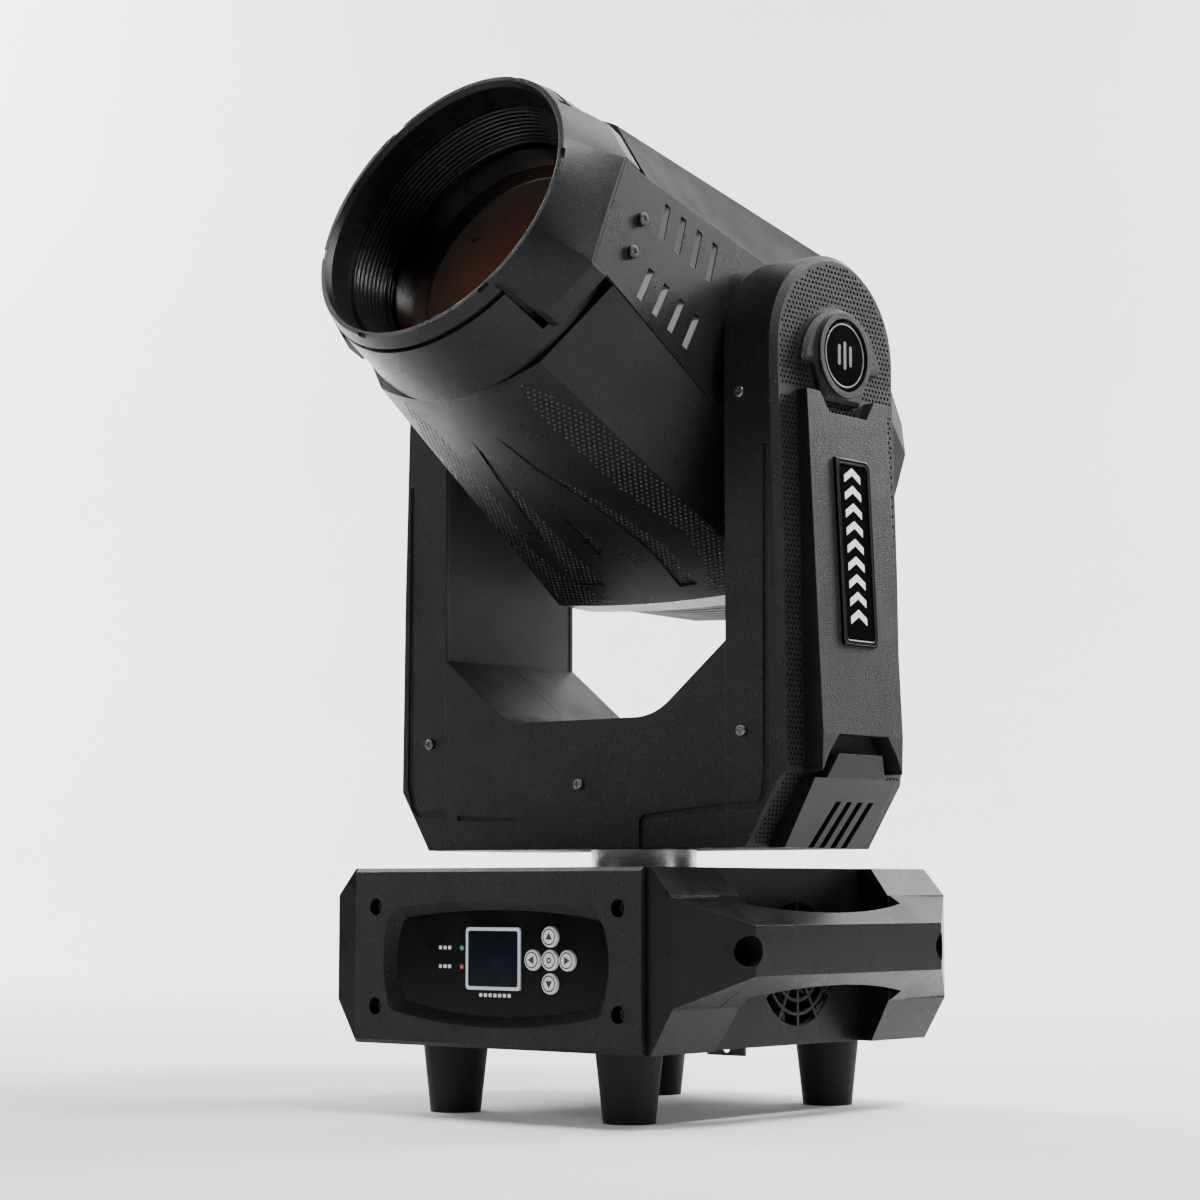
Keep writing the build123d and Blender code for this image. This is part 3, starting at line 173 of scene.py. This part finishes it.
def lens_coating():
    """Coated glass with painted reflections: near black at one side, a painted amber reflection at the
    other, a faint painted blue reflection at the top.
    """
    s = Shade("coated_lens", 0.03, 0.0, IOR=1.46, Coat_Weight=0.35)
    across = s.node("ShaderNodeVectorMath", {0: s.coords, 1: (0.74, -0.27, -0.61)}, operation="DOT_PRODUCT")
    level = s.math("ADD", across.outputs["Value"], s.span(s.noise(14.0, 2.0), 0.3, 0.7, -0.012, 0.012))
    # painted reflection: amber towards one side of the lens, standing in for the coating's reflection of the
    # studio
    amber_reflection = s.span(level, -0.29, -0.2)
    colour = s.mix(amber_reflection, (0.012, 0.003, 0.004), (0.3, 0.11, 0.028))
    rise = s.node("ShaderNodeSeparateXYZ", {"Vector": s.coords}).outputs["Z"]
    # painted reflection: a faint blue at the top of the amber side, for the reflection of a softbox
    blue_reflection = s.math("MULTIPLY", s.span(rise, 0.53, 0.58, 0.0, 0.55), amber_reflection)
    s.set("Base Color", s.mix(blue_reflection, colour, (0.3, 0.42, 0.46)))
    s.set("Transmission Weight", s.span(amber_reflection, 0.0, 1.0, 0.9, 0.6))
    s.set("Roughness", s.span(s.noise(60.0, 4.0), 0.4, 0.8, 0.015, 0.05))
    return s.mat


def plain_finish(name, base, rough, low=0.85, scale=50.0, depth=0.00005, **fixed):
    """Fine finish for small pieces: slight colour and gloss variation over a faint bump."""
    s = Shade(name, rough, **fixed)
    tone = s.noise(scale, 4.0)
    s.set("Base Color", s.mix(s.span(tone, 0.3, 0.7), base, tuple(low * c for c in base)))
    s.set("Roughness", s.span(s.noise(scale * 3, 3.0), 0.3, 0.7, max(0.02, rough - 0.05), rough + 0.06))
    soft, _ = s.edges(0.0003)
    s.set("Normal", s.bump(s.noise(scale * 20, 2.0), depth, 0.5, soft))
    return s.mat


M = {
    "grain": moulded("grained_black", (0.0045, 0.005, 0.0057), (0.0085, 0.009, 0.0102), 0.36, 1150.0,
                     0.0006, 0.3, 0.35, IOR=1.28),
    "satin": moulded("satin_black", (0.0045, 0.0049, 0.0057), (0.008, 0.0085, 0.0097), 0.3, 2400.0, 0.00006,
                     0.0, 0.2, 0.0005, IOR=1.26),
    "panel": moulded("panel_black", (0.0045, 0.005, 0.0058), (0.0085, 0.0092, 0.0105), 0.3, 1300.0,
                     0.00022, 0.1, 0.2, 0.0004, IOR=1.28),
    "shell": moulded("shell_black", (0.006, 0.0065, 0.0073), (0.0105, 0.0112, 0.0125), 0.48, 1300.0,
                     0.00022, 0.1, 0.2, 0.0004, IOR=1.13),
    "gloss": moulded("gloss_black", (0.0015, 0.0015, 0.0018), (0.003, 0.003, 0.0034), 0.12, 3000.0,
                     0.00001, 0.0, 0.2, IOR=1.2),
    "coat": moulded("powder_coat", (0.02, 0.02, 0.022), (0.028, 0.028, 0.03), 0.5, 1800.0, 0.00012, 0.1),
    "rubber": moulded("foot_rubber", (0.01, 0.01, 0.0105), (0.016, 0.016, 0.0165), 0.6, 900.0, 0.00012,
                     IOR=1.25),
    "belt": moulded("belt_rubber", (0.015, 0.015, 0.015), (0.022, 0.022, 0.022), 0.7, 1500.0, 0.0001),
    "baffle": moulded("baffle_black", (0.004, 0.004, 0.0045), (0.007, 0.007, 0.0075), 0.24, 2200.0, 0.00004,
                      0.0, 0.2, IOR=1.45),
    "turned": metal("turned_steel", (0.62, 0.61, 0.59), 0.28, (1, 1, 60), 60.0, 0.00006),
    "alloy": metal("machined_alloy", (0.6, 0.6, 0.62), 0.35, (8, 8, 8), 120.0, 0.00004),
    "screw": metal("screw_steel", (0.2, 0.2, 0.205), 0.35, (6, 6, 6), 200.0, 0.00003),
    "screw_dark": metal("screw_blackened", (0.07, 0.07, 0.075), 0.35, (6, 6, 6), 200.0, 0.00003),
    "bright": metal("reflector_metal", (0.8, 0.8, 0.81), 0.15, (3, 3, 3), 80.0, 0.00002),
    "motor": metal("motor_case", (0.1, 0.1, 0.105), 0.4, (4, 4, 4), 300.0, 0.00003),
    "lens": lens_coating(),
    "board": plain_finish("circuit_board", (0.01, 0.09, 0.035), 0.35),
    "lcd": plain_finish("display_frame", (0.62, 0.64, 0.66), 0.3),
    "led": led_lens(),
    "key": plain_finish("key_grey", (0.68, 0.69, 0.7), 0.35),
    "dichroic": plain_finish("dichroic_glass", (0.35, 0.08, 0.04), 0.12, Coat_Weight=0.6),
    "socket": plain_finish("socket_black", (0.02, 0.02, 0.02), 0.4),
    "screen": plain_finish("display_glass", (0.002, 0.0035, 0.009), 0.09, IOR=1.22),
    "ink": plain_finish("key_ink", (0.012, 0.012, 0.013), 0.3),
    "print": plain_finish("white_print", (0.72, 0.73, 0.74), 0.4),
    "trim": plain_finish("grey_trim", (0.16, 0.17, 0.175), 0.25),
    "stipple": plain_finish("stipple_dark", (0.0012, 0.0013, 0.0016), 0.6, IOR=1.12),
    "gloss_rim": plain_finish("rim_gloss", (0.008, 0.008, 0.009), 0.16),
    "stud": plain_finish("stud_black", (0.024, 0.025, 0.028), 0.25, IOR=1.45),
    # light grey of the louvre blades: painted highlight for the lit flanks of the slots
    "blade": moulded("blade_grey", (0.045, 0.046, 0.049), (0.07, 0.071, 0.074), 0.38, 1500.0, 0.00015, 0.2),
}

FINISH = {
    "grain": ["base_front_panel", "base_rear_panel", "yoke_front_cover", "yoke_rear_cover",
              "arm_shell_right", "arm_shell_left"],
    "panel": ["front_bezel", "head_side_plates", "head_cover_lower"],
    "shell": ["head_cover_upper", "head_rear_cover"],
    "satin": ["base_handle_right", "base_handle_left", "arm_vent_covers"],
    "gloss": ["control_bezel", "arm_medallions", "arm_label_plates"],
    "coat": ["base_chassis", "base_top_plate", "base_bottom_plate", "yoke_frame", "safety_eye",
             "power_supply"],
    "alloy": ["head_frame", "pan_pulley", "tilt_pulley", "pan_motor_pulley", "tilt_motor_pulley",
              "focus_carriage", "gobo_wheel"],
    "turned": ["pan_spindle", "tilt_axles", "bearings", "focus_rods"],
    "screw": ["yoke_screws"],
    "screw_dark": ["base_screws", "head_screws"],
    "rubber": ["rubber_feet"],
    "belt": ["pan_belt", "tilt_belt"],
    "lens": ["front_lens"],
    "baffle": ["lens_baffle", "base_fan_frame", "base_fan_rotor", "head_fan_frame", "head_fan_rotor"],
    "dichroic": ["colour_wheel"],
    "bright": ["lamp_unit"],
    "motor": ["pan_motor", "tilt_motor"],
    "board": ["control_board"],
    "lcd": ["lcd_display"],
    "led": ["status_leds"],
    "key": ["button_up", "button_left", "button_ok", "button_right", "button_down"],
    "socket": ["power_inlet", "signal_sockets"],
}
for look, names in FINISH.items():
    for name in names:
        ob = bpy.data.objects[name]
        ob.data.materials.clear()
        ob.data.materials.append(M[look])


# ---- mesh helpers ------------------------------------------------------------
def add(name, bm, look, body, smooth=False, bevel=0.0):
    """Turn a bmesh in metres into a piece that rides on a body."""
    bmesh.ops.recalc_face_normals(bm, faces=bm.faces)
    mesh = bpy.data.meshes.new(name)
    bm.to_mesh(mesh)
    bm.free()
    if smooth:
        mesh.shade_smooth()
    mesh.materials.append(M[look])
    ob = bpy.data.objects.new(name, mesh)
    bpy.context.collection.objects.link(ob)
    if bevel:
        mod = ob.modifiers.new("edge", "BEVEL")
        mod.width = bevel
        mod.segments = 2
        mod.limit_method = "ANGLE"
    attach(ob, body)
    return ob


def prism(bm, outline, place, depth):
    """Closed prism: 2-D outline in mm, from its plane to depth mm below; place maps (u, v, w) to metres."""
    top = [bm.verts.new(place(u, v, 0.0)) for u, v in outline]
    low = [bm.verts.new(place(u, v, -depth)) for u, v in outline]
    bm.faces.new(top)
    bm.faces.new(list(reversed(low)))
    for i in range(len(outline)):
        j = (i + 1) % len(outline)
        bm.faces.new((top[j], top[i], low[i], low[j]))


def ring(bm, centre, r_in, r_out, place, depth, count=40):
    """Flat ring with a slightly raised middle."""
    loops = []
    for r, w in ((r_in, -depth), (r_in, 0.0), ((r_in + r_out) / 2, 0.08), (r_out, 0.0), (r_out, -depth)):
        turns = [2 * pi * i / count for i in range(count)]
        loops.append([bm.verts.new(place(centre[0] + r * cos(a), centre[1] + r * sin(a), w)) for a in turns])
    for a, b in zip(loops, loops[1:]):
        for i in range(count):
            j = (i + 1) % count
            bm.faces.new((a[i], a[j], b[j], b[i]))


def frame_ring(bm, outer, inner, place, depth):
    """Raised rim between two outlines of equal point count."""
    loops = [(outer, -depth), (outer, 0.0), (inner, 0.0), (inner, -depth)]
    rows = [[bm.verts.new(place(u, v, w)) for u, v in outline] for outline, w in loops]
    rows.append(rows[0])
    for a, b in zip(rows, rows[1:]):
        for i in range(len(outer)):
            j = (i + 1) % len(outer)
            bm.faces.new((a[i], a[j], b[j], b[i]))


def domes(bm, spots, radius, height, sides=6):
    """Low studs: spots are (point, normal) in metres, radius and height in mm."""
    for point, normal in spots:
        side = normal.cross(Vector((0.31, 0.52, 0.79))).normalized()
        other = normal.cross(side)
        rows = []
        for r, h in ((radius, -0.15), (0.72 * radius, 0.7 * height)):
            row = []
            for i in range(sides):
                turn = 2 * pi * i / sides
                flat = side * cos(turn) + other * sin(turn)
                row.append(bm.verts.new(point + flat * (r * MM) + normal * (h * MM)))
            rows.append(row)
        top = bm.verts.new(point + normal * (height * MM))
        for i in range(sides):
            j = (i + 1) % sides
            bm.faces.new((rows[0][i], rows[0][j], rows[1][j], rows[1][i]))
            bm.faces.new((rows[1][i], rows[1][j], top))


def inside(u, v, outline):
    hit = False
    for i in range(len(outline)):
        (x0, y0), (x1, y1) = outline[i - 1], outline[i]
        if (y0 > v) != (y1 > v) and u < x0 + (v - y0) * (x1 - x0) / (y1 - y0):
            hit = not hit
    return hit


def grid_in(outline, pitch):
    """Staggered grid of points inside an outline."""
    us = [p[0] for p in outline]
    vs = [p[1] for p in outline]
    points = []
    row = 0
    v = min(vs) + pitch / 2
    while v < max(vs):
        u = min(us) + (pitch / 2 if row % 2 else 0.0)
        while u < max(us):
            if inside(u, v, outline):
                points.append((u, v))
            u += pitch
        v += pitch * 0.866
        row += 1
    return points


def on_front(y):
    return lambda u, v, w: Vector((u, y - w, v)) * MM


# ---- control panel --------------------------------------------------------------
DISPLAY = (-5.0, 55.0)
KEYS = {"up": (43.0, 69.0), "left": (28.8, 54.8), "ok": (43.0, 54.8), "right": (57.2, 54.8),
        "down": (43.0, 40.6)}
OVERLAY_Y = -140.0
KEY_Y = -142.4


def rounded(x0, x1, z0, z1, r, steps=6):
    outline = []
    corners = ((x1 - r, z1 - r, 0), (x0 + r, z1 - r, 90), (x0 + r, z0 + r, 180), (x1 - r, z0 + r, 270))
    for cx, cz, start in corners:
        for i in range(steps + 1):
            a = radians(start + 90 * i / steps)
            outline.append((cx + r * cos(a), cz + r * sin(a)))
    return outline


def control_panel():
    x, z = DISPLAY
    bm = bmesh.new()
    prism(bm, rounded(x - 21.0, x + 21.0, z - 17.3, z + 17.3, 1.6), on_front(OVERLAY_Y - 0.95), 1.0)
    add("display_glass", bm, "screen", "base", bevel=0.0003)
    for key, (kx, kz) in KEYS.items():
        bm = bmesh.new()
        ring(bm, (kx, kz), 4.3, 5.15, on_front(KEY_Y - 0.02), 0.25)
        if key == "ok":
            ring(bm, (kx, kz), 0.9, 1.9, on_front(KEY_Y - 0.02), 0.25, 24)
        else:
            turn = {"up": 90, "left": 180, "down": 270, "right": 0}[key]
            tri = [(2.9, 0.0), (-1.7, 2.7), (-1.7, -2.7)]
            a = radians(turn)
            tri = [(kx + u * cos(a) - v * sin(a), kz + u * sin(a) + v * cos(a)) for u, v in tri]
            prism(bm, tri, on_front(KEY_Y - 0.06), 0.25)
        add("key_mark_" + key, bm, "ink", "button_" + key)
    bm = bmesh.new()
    for row_x, row_z, count in ((-52.0, 61.4, 3), (-52.0, 49.7, 3), (-17.0, 32.5, 7)):
        for i in range(count):
            u = row_x + 4.0 * i
            mark = rounded(u, u + 2.6, row_z - 1.1, row_z + 1.1, 0.4, 3)
            prism(bm, mark, on_front(OVERLAY_Y - 0.08), 0.2)
    add("panel_print", bm, "print", "base")


# ---- arms, mm ------------------------------------------------------------------------
SKIRT_TOP = (167.5, 407.0)       # x and z of the raised panel's upper edge
SKIRT_FOOT = (178.0, 193.0)
FOOT_LOW = (134.5, 123.6)        # x and z where the arm's chamfered foot starts
FOOT_HIGH = (163.5, 169.8)
CAP_R = 58.5                     # stippled part of the round cap
BOSS_Z = 421.6                   # centre of the hub boss's arc
LEDGE_Z = 426.0                  # flat ledge under the arc
MEDALLION_X = 166.0


def arm_x(z):
    """X of the arm's outer face in mm at a height."""
    stops = [(169.8, 163.5), (300.0, 162.0), (420.0, 159.0), (503.6, 160.0)]
    for (z0, x0), (z1, x1) in zip(stops, stops[1:]):
        if z <= z1:
            return x0 + (z - z0) * (x1 - x0) / (z1 - z0)
    return stops[-1][1]


def skirt_x(z):
    """X of the raised side panel's face in mm at a height."""
    run = (SKIRT_TOP[1] - z) / (SKIRT_TOP[1] - SKIRT_FOOT[1])
    return SKIRT_TOP[0] + run * (SKIRT_FOOT[0] - SKIRT_TOP[0])


def on_cap(y, z):
    """Whether a point of the arm's round top is open skin, clear of the hub boss and the raised panel."""
    if z < 407.0:
        return abs(y) < 18.0 and z < 401.5
    if z < 409.0:
        return False
    if z < 424.5:
        return 59.0 > abs(y) > 31.0 - (LEDGE_Z - z) * 0.39
    clear_of_boss = sqrt(y * y + (z - BOSS_Z) ** 2) > 44.0
    on_arm = z < TILT_Z or sqrt(y * y + (z - TILT_Z) ** 2) < CAP_R
    return clear_of_boss and abs(y) < 59.0 and on_arm


def arm_studs():
    """Stippled bands beside the raised panel, round the cap and down the chamfered foot."""
    for side, sx in (("right", 1), ("left", -1)):
        out = Vector((sx, 0, 0))
        bm = bmesh.new()
        spots = []
        for y, z in grid_in([(45.0, 172.0), (59.5, 172.0), (59.5, 403.0), (45.0, 403.0)], 3.7):
            for sy in (-1, 1):
                spots.append((Vector((sx * arm_x(z), sy * y, z)) * MM, out))
        for y, z in grid_in([(-60.0, 396.0), (60.0, 396.0), (60.0, 494.0), (-60.0, 494.0)], 3.7):
            if on_cap(y, z):
                spots.append((Vector((sx * arm_x(z), y, z)) * MM, out))
        slope = Vector((FOOT_HIGH[1] - FOOT_LOW[1], 0, FOOT_LOW[0] - FOOT_HIGH[0])).normalized()
        slope.x *= sx
        for y, t in grid_in([(45.5, 2.0), (60.0, 2.0), (60.0, 52.5), (45.5, 52.5)], 3.7):
            share = t / 54.5
            x = FOOT_LOW[0] + share * (FOOT_HIGH[0] - FOOT_LOW[0])
            z = FOOT_LOW[1] + share * (FOOT_HIGH[1] - FOOT_LOW[1])
            for sy in (-1, 1):
                spots.append((Vector((sx * x, sy * y, z)) * MM, slope))
        domes(bm, spots, 1.2, 0.3)
        add("arm_stipple_" + side, bm, "stipple", "yoke", smooth=True)


def arm_marks():
    """Blank pattern on the label plate and a ring with three bars on the medallion."""
    for side, sx in (("right", 1), ("left", -1)):
        def plate(u, v, w, sx=sx):
            return Vector((sx * (skirt_x(v) + 0.6 + w), u, v)) * MM
        bm = bmesh.new()
        for i in range(9):
            z = 262.0 + 11.2 * i
            chevron = [(-8.5, z), (0.0, z + 5.0), (8.5, z), (8.5, z + 4.6), (0.0, z + 9.6), (-8.5, z + 4.6)]
            prism(bm, chevron, lambda u, v, w: plate(u, v, w + 0.15), 0.4)
        add("label_chevrons_" + side, bm, "print", "yoke")

        bm = bmesh.new()
        frame_ring(bm, rounded(-18.0, 18.0, 249.0, 366.5, 5.0), rounded(-15.2, 15.2, 251.8, 363.7, 3.4),
                   lambda u, v, w: plate(u, v, w + 1.5), 1.2)
        add("label_rim_" + side, bm, "gloss_rim", "yoke", bevel=0.0004)

        def disc(u, v, w, sx=sx):
            return Vector((sx * (MEDALLION_X + w), u, TILT_Z + v)) * MM
        bm = bmesh.new()
        ring(bm, (0, 0), 19.6, 20.6, disc, 0.3, 64)
        add("medallion_ring_" + side, bm, "trim", "yoke", smooth=True)
        bm = bmesh.new()
        for u in (-6.0, 0.0, 6.0):
            tall = 9.0 - abs(u) * 0.4
            bar = rounded(u - 1.4, u + 1.4, -tall, tall, 1.3, 4)
            prism(bm, bar, lambda a, b, w: disc(a, b, w + 0.12), 0.3)
        add("medallion_bars_" + side, bm, "trim", "yoke")


# ---- head ------------------------------------------------------------------------------
FRONT_STATION = (160.0, 68.0, 88.0, 110.7, 38.0, 17.0)
REAR_STATION = (-75.0, 93.0, 120.0, 110.7, 68.0, 5.0)


def skin_y(x, z, inset=0.0):
    """Depth of the lower cover below the beam axis, in mm."""
    t = (FRONT_STATION[0] - z) / (FRONT_STATION[0] - REAR_STATION[0])
    cx, cy, fx, fy, crown = [a + t * (b - a) for a, b in zip(FRONT_STATION[1:], REAR_STATION[1:])]
    cx, cy, fx, fy = cx - 0.6 * inset, cy - inset, fx - inset, fy - 0.4 * inset
    if abs(x) > cx:
        return cy + (abs(x) - cx) * (fy - cy) / (fx - cx)
    bulge = (cx * cx + crown * crown) / (2 * crown)
    return cy + crown - bulge + sqrt(bulge * bulge - x * x)


def on_skin(x, z, inset=0.0):
    """Point and outward normal of the lower cover, in metres in the row frame."""
    def at(u, v):
        return HEAD @ (Vector((u, -skin_y(u, v, inset), v)) * MM)
    here = at(x, z)
    normal = (at(x + 0.5, z) - here).cross(at(x, z + 0.5) - here).normalized()
    if normal.dot(HEAD.to_3x3() @ Vector((0, -1, 0))) < 0:
        normal = -normal
    return here, normal


LONG_BLADE = [(-25.0, 60), (-34, 54), (-50.0, -12), (-58.5, -50), (-32, -50), (-29.5, 21)]
CLAW_BAND = [(5, 108), (9, 79), (19, 50), (27.5, 16), (32, -20), (28, -58), (41, -58), (44.5, -20),
             (36, 16), (24.5, 50), (11.5, 79)]
SMALL_BLADE = [(-8.2, 26), (-9.8, -15.5), (-0.8, -7)]
CREST_BAND = [(50, 154), (44, 120), (47, 91.6), (51, 44.6), (60, 15), (66.8, -8.3), (62, -40), (44, -66),
              (52, -73), (91, -73), (87.0, -25), (79, 39.7), (73.5, 100)]


def head_studs():
    """Stippled marks swept along the underside of the head."""
    bm = bmesh.new()
    spots = []
    for outline, inset, pitch in ((LONG_BLADE, 1.1, 4.0), (CLAW_BAND, 1.1, 3.6), (SMALL_BLADE, 1.1, 3.6)):
        spots += [on_skin(x, z, inset) for x, z in grid_in(outline, pitch)]
    for x, z in grid_in(CREST_BAND, 3.9):
        spots.append(on_skin(x, z))
        spots.append(on_skin(-x, z))
    domes(bm, spots, 0.95, 0.4)
    add("head_stipple", bm, "stud", "head", smooth=True)


def louvre_blades():
    """Slanted blade behind each slot of the side plates; its light grey is a painted highlight for the lit
    flank of the slot.
    """
    bm = bmesh.new()
    for sx in (-1, 1):
        for row in (-1, 1):
            for step in range(4):
                z = 131.0 - 16.5 * step
                y0, y1 = row * (11.5 + 0.6 * step), row * (34.5 + 1.4 * step)
                edge_low = [(110.2, y0, z - 3.2), (110.2, y1, z - 0.2)]
                edge_high = [(106.9, y0, z + 2.6), (106.9, y1, z + 5.6)]
                quad = [edge_low[0], edge_low[1], edge_high[1], edge_high[0]]
                top = [bm.verts.new(HEAD @ (Vector((sx * x, y, v)) * MM)) for x, y, v in quad]
                low = [bm.verts.new(HEAD @ (Vector((sx * (x - 0.9), y, v - 0.4)) * MM)) for x, y, v in quad]
                bm.faces.new(top)
                bm.faces.new(list(reversed(low)))
                for i in range(4):
                    j = (i + 1) % 4
                    bm.faces.new((top[j], top[i], low[i], low[j]))
    add("louvre_blades", bm, "blade", "head")


control_panel()
arm_studs()
arm_marks()
head_studs()
louvre_blades()


# ---- studio ------------------------------------------------------------------
def sweep():
    """Pale floor that curves up into a backdrop."""
    bm = bmesh.new()
    rows = []
    profile = [(-4.0, 0.0), (2.5, 0.0)]
    profile += [(2.5 + 1.2 * sin(a), 1.2 - 1.2 * cos(a)) for a in [pi / 2 * i / 12 for i in range(1, 13)]]
    profile += [(3.7, 6.0)]
    back = Vector((-sin(radians(VIEW_TURN)), cos(radians(VIEW_TURN)), 0))
    side = Vector((back.y, -back.x, 0))
    for along, up in profile:
        rows.append([bm.verts.new(back * along + side * s + Vector((0, 0, FLOOR_Z + up))) for s in (-6, 6)])
    for a, b in zip(rows, rows[1:]):
        bm.faces.new((a[0], a[1], b[1], b[0]))
    mesh = bpy.data.meshes.new("studio_floor")
    bm.to_mesh(mesh)
    bm.free()
    mesh.shade_smooth()
    ob = bpy.data.objects.new("studio_floor", mesh)
    bpy.context.collection.objects.link(ob)
    s = Shade("studio_paper", 0.85)
    s.set("Base Color", s.mix(s.span(s.noise(3.0, 2.0), 0.3, 0.7), (0.9, 0.9, 0.9), (0.87, 0.87, 0.87)))
    mesh.materials.append(s.mat)


def softbox(name, place, aim, width, height, power, tint=(1, 1, 1)):
    light = bpy.data.lights.new(name, "AREA")
    light.shape = "RECTANGLE"
    light.size, light.size_y = width, height
    light.energy = power
    light.color = tint
    ob = bpy.data.objects.new(name, light)
    ob.location = place
    ob.rotation_euler = (Vector(aim) - Vector(place)).to_track_quat("-Z", "Y").to_euler()
    bpy.context.collection.objects.link(ob)


def studio():
    sweep()
    world = bpy.data.worlds.new("studio_world")
    world.use_nodes = True
    world.node_tree.nodes["Background"].inputs["Color"].default_value = (0.95, 0.97, 1.0, 1)
    world.node_tree.nodes["Background"].inputs["Strength"].default_value = 0.1
    bpy.context.scene.world = world
    softbox("key_left", (-1.5, -2.4, 1.7), (0, 0, 0.3), 0.9, 0.9, 30)
    softbox("side_right", (2.7, 0.4, 1.0), (0, 0, 0.3), 0.4, 1.8, 18)
    softbox("overhead", (1.1, 0.0, 2.2), (0, 0, 0.4), 0.5, 0.5, 70)
    softbox("rim_top", (0.5, 1.4, 2.3), (0, 0, 0.4), 1.6, 0.5, 34)
    softbox("backdrop_left", (-3.4, 0.4, 2.2), (-2.4, 2.9, 0.6), 2.0, 1.6, 240)
    softbox("backdrop_right", (1.0, 3.4, 2.2), (-2.4, 2.9, 0.6), 2.0, 1.6, 240)
    cam = bpy.data.cameras.new("camera")
    cam.sensor_width = 36.0
    cam.lens = 84.44
    ob = bpy.data.objects.new("camera", cam)
    ob.location = (1.1944, -1.4308, 0.0977)
    ob.rotation_euler = (radians(95.875), 0, radians(40.749))
    bpy.context.collection.objects.link(ob)
    bpy.context.scene.camera = ob


studio()
